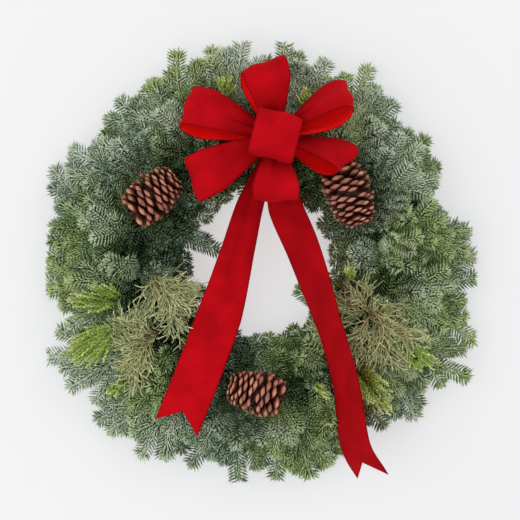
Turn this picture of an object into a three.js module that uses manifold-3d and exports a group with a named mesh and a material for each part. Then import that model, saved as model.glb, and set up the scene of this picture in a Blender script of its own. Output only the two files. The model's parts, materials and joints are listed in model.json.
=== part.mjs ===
// Fresh evergreen wreath: noble fir bunches clamped on a two-hoop wire ring, with pine cones, cedar, juniper
// and a velvet ribbon bow. Millimetres. It lies on its back: +Z is its front, +Y its top, +X its right.
import * as THREE from "three";
import { mergeVertices } from "three/addons/utils/BufferGeometryUtils.js";
import Module from "manifold-3d";

const wasm = await Module();
wasm.setup();

// Wire ring
const innerHoopRadius = 165;
const outerHoopRadius = 185;
const hoopWire = 3.6;
const hoopBottom = 2.6;
const hoopSides = 32;
const clampWire = 3;
const clampReach = 15.5;
const clampShoulder = 13.5;
const clampRise = 12;
const prongHeight = 13.6;
const prongGap = 4;

// Fir bunches, one in each clamp
const bunchCount = 16;
const bunchStep = 360 / bunchCount;
const firstBunch = 6.25;
const clampBack = 6;
const stemBack = 10.5;
const stemAhead = 7.5;
const stemPath = 175;
const stemRadius = 4;
const stemEndRadius = 3;
const twigRadius = 1.8;
const needleLength = 18;
const whorlLength = 4;

// Furthest tips of the fir, seen from the front: degrees round from +X, distance from the middle
const outerTips = [
  [2, 305], [9, 296], [17, 262], [28, 262], [37, 294], [50, 294], [61, 318], [72, 299], [84, 318], [95, 314],
  [103, 312], [112, 321], [121, 300], [131, 305], [140, 290], [149, 312], [160, 317], [170, 300], [181, 304],
  [192, 288], [204, 332], [213, 322], [224, 323], [238, 321], [251, 303], [264, 314], [274, 306], [283, 310],
  [293, 290], [307, 288], [318, 304], [331, 334], [340, 325], [349, 290],
];
const tipNeedleReach = 5;

// Ribbon
const ribbonWidth = 63.5;
const ribbonHalf = 0.6;
const ribbonCrown = 2.5;
const ribbonRoot = 7.5;
const neck = new THREE.Vector3(20, 175, 94);
const neckRadius = 12;
const knot = { low: 72, high: 107, sides: 10, stops: [0, 0.27, 0.5, 0.86, 1], radii: [11.3, 11.3, 22, 22, 13] };
const tailFold = { width: 15, length: 12, thick: 2.4, height: 70.5 };
const bowHook = 83.5;
const loops = [
  { angle: 100, length: 102, depth: 22, lift: 7, roll: 9, skew: 10 },
  { angle: 162, length: 130, depth: 16, lift: 4, roll: 26, skew: 0 },
  { angle: 208, length: 130, depth: 20, lift: 3, roll: 0, skew: -10 },
  { angle: 28, length: 118, depth: 15, lift: 12, roll: -54, skew: 0 },
  { angle: -20, length: 106, depth: 12, lift: 9, roll: -50, skew: -14 },
  { angle: -90, length: 88, depth: 23, lift: 6, roll: -2, skew: 0 },
];
const centreLoop = { length: 70, height: 46, base: 6, angle: -14 };
const leftTail = [
  [20, 172, 70.4, 14, 0], [3, 128, 67, 26, 0], [-15, 81, 66, 38, -8], [-32, 18, 72, 48, -14],
  [-57, -71, 86, 62, -6], [-85, -147, 92, 63.5, 4], [-104, -196, 88, 63.5, 2], [-118, -229, 82, 63.5, 0],
];
const rightTail = [
  [20, 172, 70.4, 14, 0], [24, 128, 67, 30, 8], [33, 81, 68, 50, 16], [59, 18, 80, 58, 38],
  [93, -80, 98, 63.5, 56], [117, -171, 104, 63.5, 57], [132, -255, 92, 63.5, 54], [156, -296, 80, 63.5, 52],
];
const tailNotch = 26;

// Pine cones: middle, heading of the tip, nose-down tilt, length and width
const cones = [
  { name: "left", x: -149, y: 96, z: 76, heading: 42, dip: 4, length: 80, width: 66, hook: 160.4 },
  { name: "right", x: 124, y: 92, z: 72, heading: 291, dip: 0, length: 84, width: 70, hook: 50 },
  { name: "bottom", x: -9, y: -180, z: 74, heading: 166, dip: 4, length: 75, width: 64, hook: 276 },
];
const scaleColumns = 7;
const scaleRows = 6;
const stalkRadius = 4;
const stalkLength = 18;

// Cedar sprays and juniper cords: the hoop and angle each stem stands on, then where it leads
const cedars = [
  { foot: [196, 185], rise: [195, 194, 60], tip: [-284, -84, 62], fan: 96, pairs: 6 },
  { foot: [199, 165], rise: [203, 196, 82], tip: [-276, -132, 80], fan: 92, pairs: 6 },
  { foot: [218.5, 185], rise: [217, 196, 60], tip: [-214, -192, 60], fan: 62, pairs: 4 },
  { foot: [106, 185], rise: [107, 190, 66], tip: [-46, 268, 62], fan: 44, pairs: 4 },
  { foot: [61, 185.5], rise: [68, 200, 44], tip: [60, 248, 56], fan: 44, pairs: 4 },
  { foot: [308.5, 185], rise: [312, 192, 68], tip: [196, -222, 68], fan: 86, pairs: 6 },
  { foot: [331, 185], rise: [331, 192, 70], tip: [250, -140, 72], fan: 74, pairs: 5 },
  { foot: [286, 185], rise: [292, 172, 62], tip: [102, -198, 66], fan: 46, pairs: 4 },
  { foot: [353.5, 164.4], rise: [340, 142, 56], tip: [122, 4, 64], fan: 36, pairs: 3 },
];
const cedarBlade = 1;
const cedarStem = 1.5;
const junipers = [
  { foot: [173.5, 165], rise: [184, 160, 74], tip: [-112, -62, 78], forks: 5, seed: 1 },
  { foot: [218.5, 165], rise: [212, 170, 80], tip: [-196, -160, 78], forks: 5, seed: 2 },
  { foot: [331, 165], rise: [335, 165, 82], tip: [196, -60, 84], forks: 5, seed: 3 },
  { foot: [308.5, 165], rise: [316, 152, 58], tip: [80, -104, 58], forks: 4, seed: 4 },
];
const juniperRadius = 1.5;

// Where something lies on the foliage and presses it down: x, y, radius and the height left under it
const pressedSpots = [
  [neck.x, neck.y, 118, 50],
  [-15, 81, 30, 50], [-40, -10, 40, 54], [-57, -71, 40, 64], [-85, -147, 40, 70], [-110, -205, 40, 66],
  [33, 81, 30, 50], [59, 18, 40, 52], [93, -80, 38, 56], [117, -171, 38, 60], [140, -265, 40, 50],
  ...cones.map((cone) => [cone.x, cone.y, 38, 34]),
  [-225, -90, 60, 50], [-205, -140, 44, 52], [-150, -60, 50, 56], [185, -110, 60, 52], [165, -185, 46, 50],
  [110, -150, 34, 52], [-43, 240, 26, 40], [50, 235, 24, 38], [120, -40, 34, 50],
];
const pressedSlope = 1.1;

// A steady scatter from 0 to 1 for a pair of numbers
function chance(a, b) {
  const wave = Math.sin(a * 12.9898 + b * 78.233) * 43758.5453;
  return wave - Math.floor(wave);
}

function at(degrees, radius, height) {
  const angle = THREE.MathUtils.degToRad(degrees);
  return new THREE.Vector3(radius * Math.cos(angle), radius * Math.sin(angle), height);
}

function solidOf(geometry) {
  const bare = geometry.clone();
  bare.deleteAttribute("normal");
  bare.deleteAttribute("uv");
  const closed = mergeVertices(bare, 1e-3);
  const vertProperties = new Float32Array(closed.getAttribute("position").array);
  const triVerts = new Uint32Array(closed.index.array);
  return new wasm.Manifold(new wasm.Mesh({ numProp: 3, vertProperties, triVerts }));
}

function polygon(sides) {
  return Array.from({ length: sides }, (_, i) => {
    const angle = (2 * Math.PI * i) / sides;
    return new THREE.Vector2(Math.cos(angle), Math.sin(angle));
  });
}

// The part of a direction that is square to the tangent
function square(direction, tangent) {
  return direction.clone().addScaledVector(tangent, -direction.dot(tangent)).normalize();
}

// Frames carried along a curve without twisting
function framesAlong(curve, stops) {
  let normal = new THREE.Vector3(0, 0, 1);
  return stops.map((stop, i) => {
    const tangent = curve.getTangent(stop);
    if (i === 0 && Math.abs(tangent.z) > 0.9) normal.set(0, 1, 0);
    normal = square(normal, tangent);
    const side = normal.clone().cross(tangent);
    return { origin: curve.getPoint(stop), side, normal, tangent };
  });
}

// Frames of a ribbon, whose width lies level across its run and then rolls about it
function ribbonFrames(curve, stops, rollAt) {
  return stops.map((stop) => {
    const tangent = curve.getTangent(stop);
    const level = curve.across ?? tangent.clone().cross(new THREE.Vector3(0, 0, 1));
    const side = square(level, tangent);
    side.applyAxisAngle(tangent, THREE.MathUtils.degToRad(rollAt(stop)));
    const normal = tangent.clone().cross(side);
    return { origin: curve.getPoint(stop), side, normal, tangent };
  });
}

// A prism of the outline whose rings sit on the frames, each with its own width and height
function sweep(outline, frames, sizeAt) {
  const rings = frames.length - 1;
  const options = { depth: rings, steps: rings, bevelEnabled: false };
  const prism = new THREE.ExtrudeGeometry(new THREE.Shape(outline), options);
  prism.deleteAttribute("normal");
  prism.deleteAttribute("uv");
  const position = prism.getAttribute("position");
  const ringOf = new Float32Array(position.count);
  for (let i = 0; i < position.count; i += 1) {
    const ring = Math.round(position.getZ(i));
    const frame = frames[ring];
    const [width, height] = sizeAt(ring);
    const point = frame.origin.clone();
    point.addScaledVector(frame.side, position.getX(i) * width);
    point.addScaledVector(frame.normal, position.getY(i) * height);
    position.setXYZ(i, point.x, point.y, point.z);
    ringOf[i] = ring;
  }
  prism.setAttribute("ring", new THREE.BufferAttribute(ringOf, 1));
  return mergeVertices(prism, 1e-4);
}

// Room already taken, kept as points in cells
const cellSize = 6;
const looseGap = 0.9;
const taken = new Map();

function cellKey(x, y, z) {
  return `${Math.floor(x / cellSize)},${Math.floor(y / cellSize)},${Math.floor(z / cellSize)}`;
}

function take(point, radius, owner) {
  const key = cellKey(point.x, point.y, point.z);
  if (!taken.has(key)) taken.set(key, []);
  taken.get(key).push({ point: point.clone(), radius, owner });
}

function isFree(point, radius, owner) {
  for (let i = -1; i <= 1; i += 1) {
    for (let j = -1; j <= 1; j += 1) {
      for (let k = -1; k <= 1; k += 1) {
        const key = cellKey(point.x + i * cellSize, point.y + j * cellSize, point.z + k * cellSize);
        for (const other of taken.get(key) ?? []) {
          if (other.owner === owner) continue;
          if (other.point.distanceTo(point) < radius + other.radius + looseGap) return false;
        }
      }
    }
  }
  return true;
}

function takeSurface(solid, owner) {
  const mesh = solid.getMesh();
  const corner = (i) => {
    return new THREE.Vector3().fromArray(mesh.vertProperties, mesh.triVerts[i] * mesh.numProp);
  };
  for (let i = 0; i < mesh.triVerts.length; i += 3) {
    const [a, b, c] = [corner(i), corner(i + 1), corner(i + 2)];
    const longest = Math.max(a.distanceTo(b), b.distanceTo(c), c.distanceTo(a));
    const parts = Math.ceil(longest / 2.5);
    for (let p = 0; p <= parts; p += 1) {
      for (let q = 0; q <= parts - p; q += 1) {
        const spot = a.clone().multiplyScalar(1 - (p + q) / parts);
        spot.addScaledVector(b, p / parts).addScaledVector(c, q / parts);
        take(spot, 0.3, owner);
      }
    }
  }
}

function takeCurve(curve, radius, owner) {
  const steps = Math.ceil(curve.getLength() / 2);
  for (let i = 0; i <= steps; i += 1) take(curve.getPoint(i / steps), radius, owner);
}

// Wire ring: two hoops lying on cross bars whose prongs are bent over the stems
function hoop(radius) {
  const half = hoopWire / 2;
  const top = hoopBottom + hoopWire;
  const profile = [
    [radius - half, hoopBottom], [radius + half, hoopBottom], [radius + half, top], [radius - half, top],
    [radius - half, hoopBottom],
  ].map(([r, z]) => new THREE.Vector2(r, z));
  return solidOf(new THREE.LatheGeometry(profile, hoopSides).rotateX(Math.PI / 2));
}

// A flat strip of even width about a bent line
function strip(line, half) {
  const points = line.map(([x, y]) => new THREE.Vector2(x, y));
  const edge = (sign) => points.map((point, i) => {
    const before = points[Math.max(i - 1, 0)];
    const after = points[Math.min(i + 1, points.length - 1)];
    const inward = i > 0 ? point.clone().sub(before).normalize() : after.clone().sub(point).normalize();
    const outward = i < points.length - 1 ? after.clone().sub(point).normalize() : inward.clone();
    const middle = inward.clone().add(outward).normalize();
    const reach = half / middle.dot(inward);
    return new THREE.Vector2(point.x - sign * middle.y * reach, point.y + sign * middle.x * reach);
  });
  return new THREE.Shape([...edge(-1), ...edge(1).reverse()]);
}

function clamp(degrees) {
  const bar = clampWire / 2;
  const half = [[clampReach, bar], [clampShoulder, clampRise], [prongGap / 2, prongHeight]];
  const outer = half.map(([away, height]) => [stemPath + away, height]);
  const inner = half.map(([away, height]) => [stemPath - away, height]);
  const line = [...inner.reverse(), ...outer];
  const options = { depth: clampWire, bevelEnabled: false };
  const bent = new THREE.ExtrudeGeometry(strip(line, bar), options);
  bent.translate(0, 0, -bar).rotateX(Math.PI / 2);
  bent.rotateZ(THREE.MathUtils.degToRad(degrees));
  return solidOf(bent);
}

const bunchAngle = (index) => firstBunch + index * bunchStep;

function wireRing() {
  let ring = hoop(innerHoopRadius).add(hoop(outerHoopRadius));
  for (let i = 0; i < bunchCount; i += 1) ring = ring.add(clamp(bunchAngle(i) - clampBack));
  return ring;
}

// Wires that hook under a hoop: a round turn about what they hold, then legs down to the ring
const tieWire = 1;
const turnGap = 0.6;
const coneWireDrop = 46;
const coneWireShoulder = 30;
const bowWireWaist = 75;
const bowWireDrop = 58;
const bowWireShoulder = 28;

function wire(points) {
  const curve = new THREE.CatmullRomCurve3(points, false, "catmullrom", 0.3);
  const steps = points.length - 1;
  const stops = Array.from({ length: steps + 1 }, (_, i) => i / steps);
  return solidOf(sweep(polygon(4), framesAlong(curve, stops), () => [tieWire, tieWire]));
}

function hookUnder(degrees, radius, side) {
  const flat = radius * Math.cos(Math.PI / hoopSides / 1.4);
  const beside = hoopWire / 2 + tieWire + 0.9;
  const under = hoopBottom - tieWire - 0.35;
  return [
    at(degrees, flat + side * beside, 9),
    at(degrees, flat + side * beside, hoopBottom + 0.6),
    at(degrees, flat + side * (beside - 0.8), under),
    at(degrees, flat - side * (beside - 0.8), under),
    at(degrees, flat - side * beside, hoopBottom + 0.6),
    at(degrees, flat - side * beside, hoopBottom + 2.6),
  ];
}

function turnAbout(centre, axis, radius) {
  const turn = new THREE.TorusGeometry(radius + tieWire + turnGap, tieWire, 4, 8);
  const facing = new THREE.Quaternion().setFromUnitVectors(new THREE.Vector3(0, 0, 1), axis);
  return solidOf(turn.applyQuaternion(facing).translate(centre.x, centre.y, centre.z));
}

// Pine cones: each cell between two rows and two columns of the core is drawn out into a scale
function coneRadius(s, width) {
  return (width / 2) * Math.sin(Math.PI * (0.13 + 0.8 * s)) ** 0.75;
}

function pineCone(cone) {
  const { length, width } = cone;
  const corners = [];
  const faces = [];
  const point = (s, column, radius) => {
    const angle = ((column + s * 2.4) * 2 * Math.PI) / scaleColumns;
    return new THREE.Vector3(radius * Math.cos(angle), radius * Math.sin(angle), (s - 0.5) * length);
  };
  const coreAt = (row, column) => {
    const s = 0.06 + (0.88 * row) / scaleRows;
    return point(s, column, coneRadius(s, width) * 0.4);
  };
  const core = (row, column) => row * scaleColumns + (column % scaleColumns);
  for (let row = 0; row <= scaleRows; row += 1) {
    for (let column = 0; column < scaleColumns; column += 1) corners.push(coreAt(row, column));
  }
  for (let row = 0; row < scaleRows; row += 1) {
    for (let column = 0; column < scaleColumns; column += 1) {
      const s = 0.06 + (0.88 * (row + 0.75)) / scaleRows;
      const reach = coneRadius(s, width) * (0.94 + 0.12 * chance(row, column + width));
      const first = corners.length;
      for (const [along, across] of [[-0.022, 0.14], [-0.022, 0.86], [0.022, 0.78], [0.022, 0.22]]) {
        corners.push(point(s + along, column + across, reach));
      }
      const next = column + 1;
      const base = [core(row, column), core(row, next), core(row + 1, next), core(row + 1, column)];
      for (let i = 0; i < 4; i += 1) {
        const j = (i + 1) % 4;
        faces.push([base[i], base[j], first + j], [base[i], first + j, first + i]);
      }
      faces.push([first, first + 1, first + 2], [first, first + 2, first + 3]);
    }
  }
  const ends = [[0, -0.5 * length, 1], [scaleRows, 0.5 * length, 0]];
  for (const [row, height, turned] of ends) {
    const middle = corners.length;
    corners.push(new THREE.Vector3(0, 0, height));
    for (let column = 0; column < scaleColumns; column += 1) {
      const pair = [core(row, column), core(row, column + 1)];
      faces.push(turned ? [pair[1], pair[0], middle] : [pair[0], pair[1], middle]);
    }
  }
  const body = new THREE.BufferGeometry().setFromPoints(corners);
  body.setIndex(faces.flat());
  const stalk = new THREE.CylinderGeometry(stalkRadius, stalkRadius, stalkLength, 6).rotateX(Math.PI / 2);
  return solidOf(body).add(solidOf(stalk.translate(0, 0, -0.5 * length - 4)));
}

function conePose(cone) {
  const heading = at(cone.heading, 1, 0);
  const dip = THREE.MathUtils.degToRad(cone.dip);
  const axis = heading.multiplyScalar(Math.cos(dip)).add(new THREE.Vector3(0, 0, -Math.sin(dip)));
  const turn = new THREE.Quaternion().setFromUnitVectors(new THREE.Vector3(0, 0, 1), axis);
  const middle = new THREE.Vector3(cone.x, cone.y, cone.z);
  const pose = new THREE.Matrix4().compose(middle, turn, new THREE.Vector3(1, 1, 1));
  return { axis, pose };
}

function coneWire(cone) {
  const { axis } = conePose(cone);
  const stalk = new THREE.Vector3(cone.x, cone.y, cone.z).addScaledVector(axis, -0.5 * cone.length - 7);
  const down = new THREE.Vector3(0, 0, -1).addScaledVector(axis, axis.z).normalize();
  const start = stalk.clone().addScaledVector(down, stalkRadius + tieWire + turnGap);
  const below = start.clone().setZ(coneWireDrop);
  const shoulder = at(cone.hook, outerHoopRadius + 4.5, coneWireShoulder);
  const leg = wire([start, below, shoulder, ...hookUnder(cone.hook, outerHoopRadius, 1)]);
  return turnAbout(stalk, axis, stalkRadius).add(leg);
}

// Bow: each loop leaves the neck, swells out and comes back under itself, its end a little askew
class LoopCurve extends THREE.Curve {
  constructor({ angle, length, depth, lift, roll, skew }) {
    super();
    this.out = at(angle, 1, Math.tan(THREE.MathUtils.degToRad(lift))).normalize();
    const turn = new THREE.Quaternion().setFromAxisAngle(this.out, THREE.MathUtils.degToRad(roll));
    this.up = new THREE.Vector3(0, 0, 1).applyQuaternion(turn);
    this.across = at(angle - 90 + skew, 1, 0).applyQuaternion(turn);
    this.length = length;
    this.depth = depth;
    this.start = Math.asin((ribbonRoot / length) ** (1 / 1.5)) / Math.PI;
  }

  getPoint(t, target = new THREE.Vector3()) {
    const swell = Math.sin(Math.PI * t);
    target.copy(neck).addScaledVector(this.out, this.length * swell ** 1.5);
    return target.addScaledVector(this.up, this.depth * 1.3 * Math.sin(2 * Math.PI * t) * swell);
  }
}

// The middle loop stands on the neck and runs up and down the bow
class CentreCurve extends THREE.Curve {
  constructor() {
    super();
    this.out = at(90 + centreLoop.angle, 1, 0);
    this.across = at(centreLoop.angle, 1, 0);
    this.start = 0.05;
  }

  getPoint(t, target = new THREE.Vector3()) {
    const angle = 2 * Math.PI * t;
    const wide = (centreLoop.length / 2) * Math.sin(angle) * Math.sin(Math.PI * t) ** 0.4;
    target.copy(neck).addScaledVector(this.out, wide);
    target.z += centreLoop.base + (centreLoop.height / 2) * (1 - Math.cos(angle));
    return target;
  }
}

// Leaves out the scraps that crossing sheets cut loose
function largestBody(solid) {
  const bodies = solid.decompose();
  return bodies.reduce((best, body) => (body.volume() > best.volume() ? body : best));
}

function ribbonOutline(crown) {
  const outline = [[-0.5, -ribbonHalf], [0, crown - ribbonHalf], [0.5, -ribbonHalf]];
  outline.push([0.5, ribbonHalf], [0, crown + ribbonHalf], [-0.5, ribbonHalf]);
  return outline.map(([x, y]) => new THREE.Vector2(x, y));
}

function ribbonLoop(curve) {
  const steps = 9;
  const span = 1 - 2 * curve.start;
  const stops = Array.from({ length: steps + 1 }, (_, i) => curve.start + (span * i) / steps);
  const frames = ribbonFrames(curve, stops, () => 0);
  const widthAt = (stop) => 12 + (ribbonWidth - 12) * Math.min(1, Math.sin(Math.PI * stop) * 1.2) ** 1.35;
  return solidOf(sweep(ribbonOutline(ribbonCrown), frames, (ring) => [widthAt(stops[ring]), 1]));
}

// The gathered middle, slim where the tie wire holds it and full above
function gatheredKnot() {
  const middle = new THREE.LineCurve3(neck.clone().setZ(knot.low), neck.clone().setZ(knot.high));
  const frames = framesAlong(middle, knot.stops);
  return solidOf(sweep(polygon(knot.sides), frames, (ring) => [knot.radii[ring], knot.radii[ring]]));
}

function bowLoops() {
  let bow = gatheredKnot();
  for (const loop of loops) bow = bow.add(ribbonLoop(new LoopCurve(loop)));
  return largestBody(bow.add(ribbonLoop(new CentreCurve())));
}

// Each tail: a strip cut to a swallow tail at its end
function tail(stations) {
  const path = new THREE.CatmullRomCurve3(stations.map(([x, y, z]) => new THREE.Vector3(x, y, z)));
  const last = stations.length - 1;
  const steps = 11;
  const stops = Array.from({ length: steps + 1 }, (_, i) => i / steps);
  const between = (stop, column) => {
    const place = Math.min(stop * last, last - 1e-9);
    const from = Math.floor(place);
    return THREE.MathUtils.lerp(stations[from][column], stations[from + 1][column], place - from);
  };
  const frames = ribbonFrames(path, stops, (stop) => between(stop, 4));
  const outline = ribbonOutline(1);
  const cloth = sweep(outline, frames, (ring) => [between(stops[ring], 3), 1]);
  const end = frames[steps];
  const corners = [[0, -tailNotch], [ribbonWidth, tailNotch], [-ribbonWidth, tailNotch]];
  const cut = new THREE.Shape(corners.map(([x, y]) => new THREE.Vector2(x, y)));
  const wedge = new THREE.ExtrudeGeometry(cut, { depth: 40, bevelEnabled: false }).translate(0, 0, -20);
  const basis = new THREE.Matrix4().makeBasis(end.side.clone().negate(), end.tangent, end.normal);
  wedge.applyMatrix4(basis.setPosition(end.origin));
  return solidOf(cloth).subtract(solidOf(wedge));
}

function bowTails() {
  const { width, length, thick, height } = tailFold;
  const fold = new THREE.BoxGeometry(width, length, thick).translate(neck.x, neck.y - 4, height);
  return tail(leftTail).add(tail(rightTail)).add(solidOf(fold));
}

function bowTieWire() {
  const waist = new THREE.Vector3(neck.x, neck.y, bowWireWaist);
  let tie = turnAbout(waist, new THREE.Vector3(0, 0, 1), neckRadius);
  for (const [radius, side] of [[outerHoopRadius, 1], [innerHoopRadius, -1]]) {
    const beside = neck.x - side * (neckRadius + tieWire + turnGap);
    const shoulder = new THREE.Vector3(beside, neck.y, bowWireWaist + turnGap);
    const drop = new THREE.Vector3(beside - side, neck.y, bowWireDrop);
    const low = at(bowHook, radius + side * 4, bowWireShoulder);
    tie = tie.add(wire([shoulder, drop, low, ...hookUnder(bowHook, radius, side)]));
  }
  return tie;
}

// Cedar: a flat frond cut as one outline of rib and pointed side shoots, at the end of a slim stem
function cedarOutline(fan, pairs) {
  const half = 1.3;
  const bare = 6;
  const step = (fan * 0.86 - bare) / pairs;
  const right = [];
  for (let i = 0; i < pairs; i += 1) {
    const y = bare + i * step;
    const reach = fan * 0.42 * Math.sin(Math.PI * (0.24 + (0.66 * i) / pairs));
    right.push([half, y], [reach, y + reach * 0.95 + 2], [half, y + 4.2]);
  }
  const left = right.map(([x, y]) => [-x, y + step * 0.45]);
  const outline = [[half, 0], ...right, [0, fan], ...left.reverse(), [-half, 0]];
  return new THREE.Shape(outline.map(([x, y]) => new THREE.Vector2(x, y)));
}

function sprigCurve({ foot, rise, tip }, footGap) {
  const base = at(foot[0], foot[1], hoopBottom + hoopWire + footGap);
  const knee = at(rise[0], rise[1], rise[2] * 0.72);
  const bend = at(rise[0], rise[1], rise[2]).lerp(new THREE.Vector3(...tip), 0.12);
  bend.z = rise[2] + 5;
  return new THREE.CubicBezierCurve3(base, knee, bend, new THREE.Vector3(...tip));
}

function cedar(sprig) {
  const curve = sprigCurve(sprig, 1.1);
  const length = curve.getLength();
  const options = { depth: cedarBlade, bevelEnabled: false };
  const frond = new THREE.ExtrudeGeometry(cedarOutline(sprig.fan, sprig.pairs), options);
  const position = frond.getAttribute("position");
  for (let i = 0; i < position.count; i += 1) {
    const u = THREE.MathUtils.clamp(1 + (position.getY(i) - sprig.fan) / length, 0, 1);
    const [frame] = ribbonFrames(curve, [curve.getUtoTmapping(u)], () => 0);
    const point = frame.origin.addScaledVector(frame.side, position.getX(i));
    point.addScaledVector(frame.normal, 0.5 * cedarBlade - position.getZ(i));
    position.setXYZ(i, point.x, point.y, point.z);
  }
  const joint = curve.getUtoTmapping(1 - (sprig.fan - 4) / length);
  const stops = Array.from({ length: 5 }, (_, i) => (joint * i) / 4);
  const stem = sweep(polygon(3), framesAlong(curve, stops), () => [cedarStem, cedarStem]);
  return solidOf(frond).add(solidOf(stem));
}

// Juniper: a stem that forks into slim cords
function juniper(sprig) {
  const curve = sprigCurve(sprig, 1.1);
  const cord = (path, rings, radius) => {
    const stops = Array.from({ length: rings + 1 }, (_, i) => i / rings);
    const frames = framesAlong(path, stops);
    const taper = (ring) => radius * (1 - (0.6 * ring) / rings);
    return solidOf(sweep(polygon(3), frames, (ring) => [taper(ring), taper(ring)]));
  };
  let plant = cord(curve, 6, juniperRadius + 0.4);
  for (let i = 0; i < sprig.forks; i += 1) {
    const start = curve.getPoint(0.46 + (0.46 * i) / sprig.forks);
    const ahead = curve.getTangent(0.46 + (0.5 * i) / sprig.forks);
    ahead.z *= 0.3;
    const turn = (i % 2 ? 1 : -1) * (24 + 26 * chance(i, sprig.seed));
    ahead.applyAxisAngle(new THREE.Vector3(0, 0, 1), THREE.MathUtils.degToRad(turn)).normalize();
    const reach = 34 + 26 * chance(sprig.seed, i);
    const bend = start.clone().addScaledVector(ahead, reach * 0.5);
    bend.z += 5 + 4 * chance(i, 9);
    const end = start.clone().addScaledVector(ahead, reach);
    end.z += 8 * chance(i + 3, sprig.seed) - 4;
    plant = plant.add(cord(new THREE.QuadraticBezierCurve3(start, bend, end), 2, juniperRadius));
  }
  return plant;
}

// Fir bunches
function ceilingAt(point) {
  let height = 200;
  for (const [x, y, radius, under] of pressedSpots) {
    const away = Math.hypot(point.x - x, point.y - y) - radius;
    height = Math.min(height, under + pressedSlope * Math.max(0, away));
  }
  return height;
}

function stemCurve(bunch) {
  const middle = bunchAngle(bunch);
  return new THREE.CubicBezierCurve3(
    at(middle - stemBack, stemPath, 7),
    at(middle - 4.5, stemPath, 7),
    at(middle + 2, stemPath, 8.6),
    at(middle + stemAhead, stemPath + 1, 20),
  );
}

// Each twig of a bunch: where it leaves the stem, its bend and its tip, and how many whorls it carries
function twigsOf(bunch) {
  const middle = bunchAngle(bunch);
  const twigs = [];
  const add = (along, bend, tip, whorls, headroom = 0) => {
    if (ceilingAt(at(...tip)) > headroom) twigs.push({ along, bend, tip, whorls });
  };
  outerTips.forEach(([degrees, reach], i) => {
    const offset = ((degrees - middle - 3 + 540) % 360) - 180;
    if (Math.abs(offset) > bunchStep / 2) return;
    const end = reach - tipNeedleReach;
    const height = 20 + 16 * (i % 2) + 6 * chance(i, 1);
    const whorls = end > 292 ? 4 : 3;
    const bend = [middle + 5 + offset * 0.3, stemPath + (end - stemPath) * 0.4, height + 8];
    add(0.92, bend, [degrees, end, height], whorls);
  });
  for (const side of twigs.length > 2 ? [1] : [-1, 1]) {
    const degrees = middle + 3 + side * 5.5 + 4 * (chance(bunch, side + 4) - 0.5);
    const reach = 252 + 22 * chance(bunch, side + 7);
    const height = 52 + 12 * chance(bunch, side + 11);
    add(0.8, [middle + 4 + side * 2, 196, height + 8], [degrees, reach, height], 3);
  }
  const crest = middle + 2 + 6 * (chance(bunch, 21) - 0.5);
  add(0.7, [middle + 1, 170, 92], [crest, 216 + 14 * chance(bunch, 22), 90 + 8 * chance(bunch, 23)], 3, 80);
  const inner = middle + 1 + 5 * (chance(bunch, 31) - 0.5);
  add(0.62, [middle, 156, 62], [inner, 122 + 8 * chance(bunch, 32), 58 + 10 * chance(bunch, 33)], 2, 52);
  const back = middle - 3 + 6 * (chance(bunch, 41) - 0.5);
  add(0.52, [middle - 1, 148, 24], [back, 98 + 10 * chance(bunch, 42), 26 + 8 * chance(bunch, 43)], 2);
  return twigs;
}

function twigCurve(bunch, twig) {
  const stem = stemCurve(bunch);
  const bend = at(...twig.bend);
  const tip = at(...twig.tip);
  bend.z = Math.min(bend.z, ceilingAt(bend));
  tip.z = Math.min(tip.z, ceilingAt(tip));
  return new THREE.QuadraticBezierCurve3(stem.getPoint(twig.along), bend, tip);
}

// Stops along a twig: a short band that bears a whorl of needles, then a bare stretch
function whorlStops(length, whorls) {
  const band = whorlLength / length;
  const first = 0.3;
  const stops = [0];
  for (let i = 0; i < whorls; i += 1) {
    const start = first + ((1 - first - band) * i) / (whorls - 0.8);
    stops.push(start, start + band);
  }
  stops.push(1);
  return stops;
}

// Each whorl band turns by half a side, so its six faces look six ways. Each face is drawn out into a needle
// where there is room for it.
function needledTwig(curve, whorls, owner) {
  const stops = whorlStops(curve.getLength(), whorls);
  const frames = framesAlong(curve, stops);
  frames.forEach((frame, ring) => {
    const turn = -Math.floor(ring / 2) * (Math.PI / 3);
    frame.side.applyAxisAngle(frame.tangent, turn);
    frame.normal.applyAxisAngle(frame.tangent, turn);
  });
  const last = stops.length - 1;
  const radiusAt = (ring) => twigRadius * (1.15 - (0.75 * ring) / last);
  const core = sweep(polygon(3), frames, (ring) => [radiusAt(ring), radiusAt(ring)]);
  const position = core.getAttribute("position");
  const ringOf = core.getAttribute("ring");
  const corners = Array.from({ length: position.count }, (_, i) => {
    return new THREE.Vector3().fromBufferAttribute(position, i);
  });
  const faces = [];
  for (let i = 0; i < core.index.count; i += 3) {
    const face = [core.index.getX(i), core.index.getX(i + 1), core.index.getX(i + 2)];
    const rings = face.map((corner) => ringOf.getX(corner));
    const low = Math.min(...rings);
    const isBand = low % 2 === 1 && Math.max(...rings) > low && low < last;
    const leading = rings[0] + rings[1] + rings[2] - 3 * low > 1;
    const places = face.map((corner) => corners[corner]);
    const apex = isBand ? needleApex(places, frames[low], leading, owner) : null;
    if (!apex) {
      faces.push(face);
      continue;
    }
    corners.push(apex);
    const top = corners.length - 1;
    faces.push([face[0], face[1], top], [face[1], face[2], top], [face[2], face[0], top]);
  }
  const body = new THREE.BufferGeometry().setFromPoints(corners);
  body.setIndex(faces.flat());
  return solidOf(body);
}

// How steeply a needle rises from its face at least, as a cosine
const leastRise = 0.35;

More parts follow.
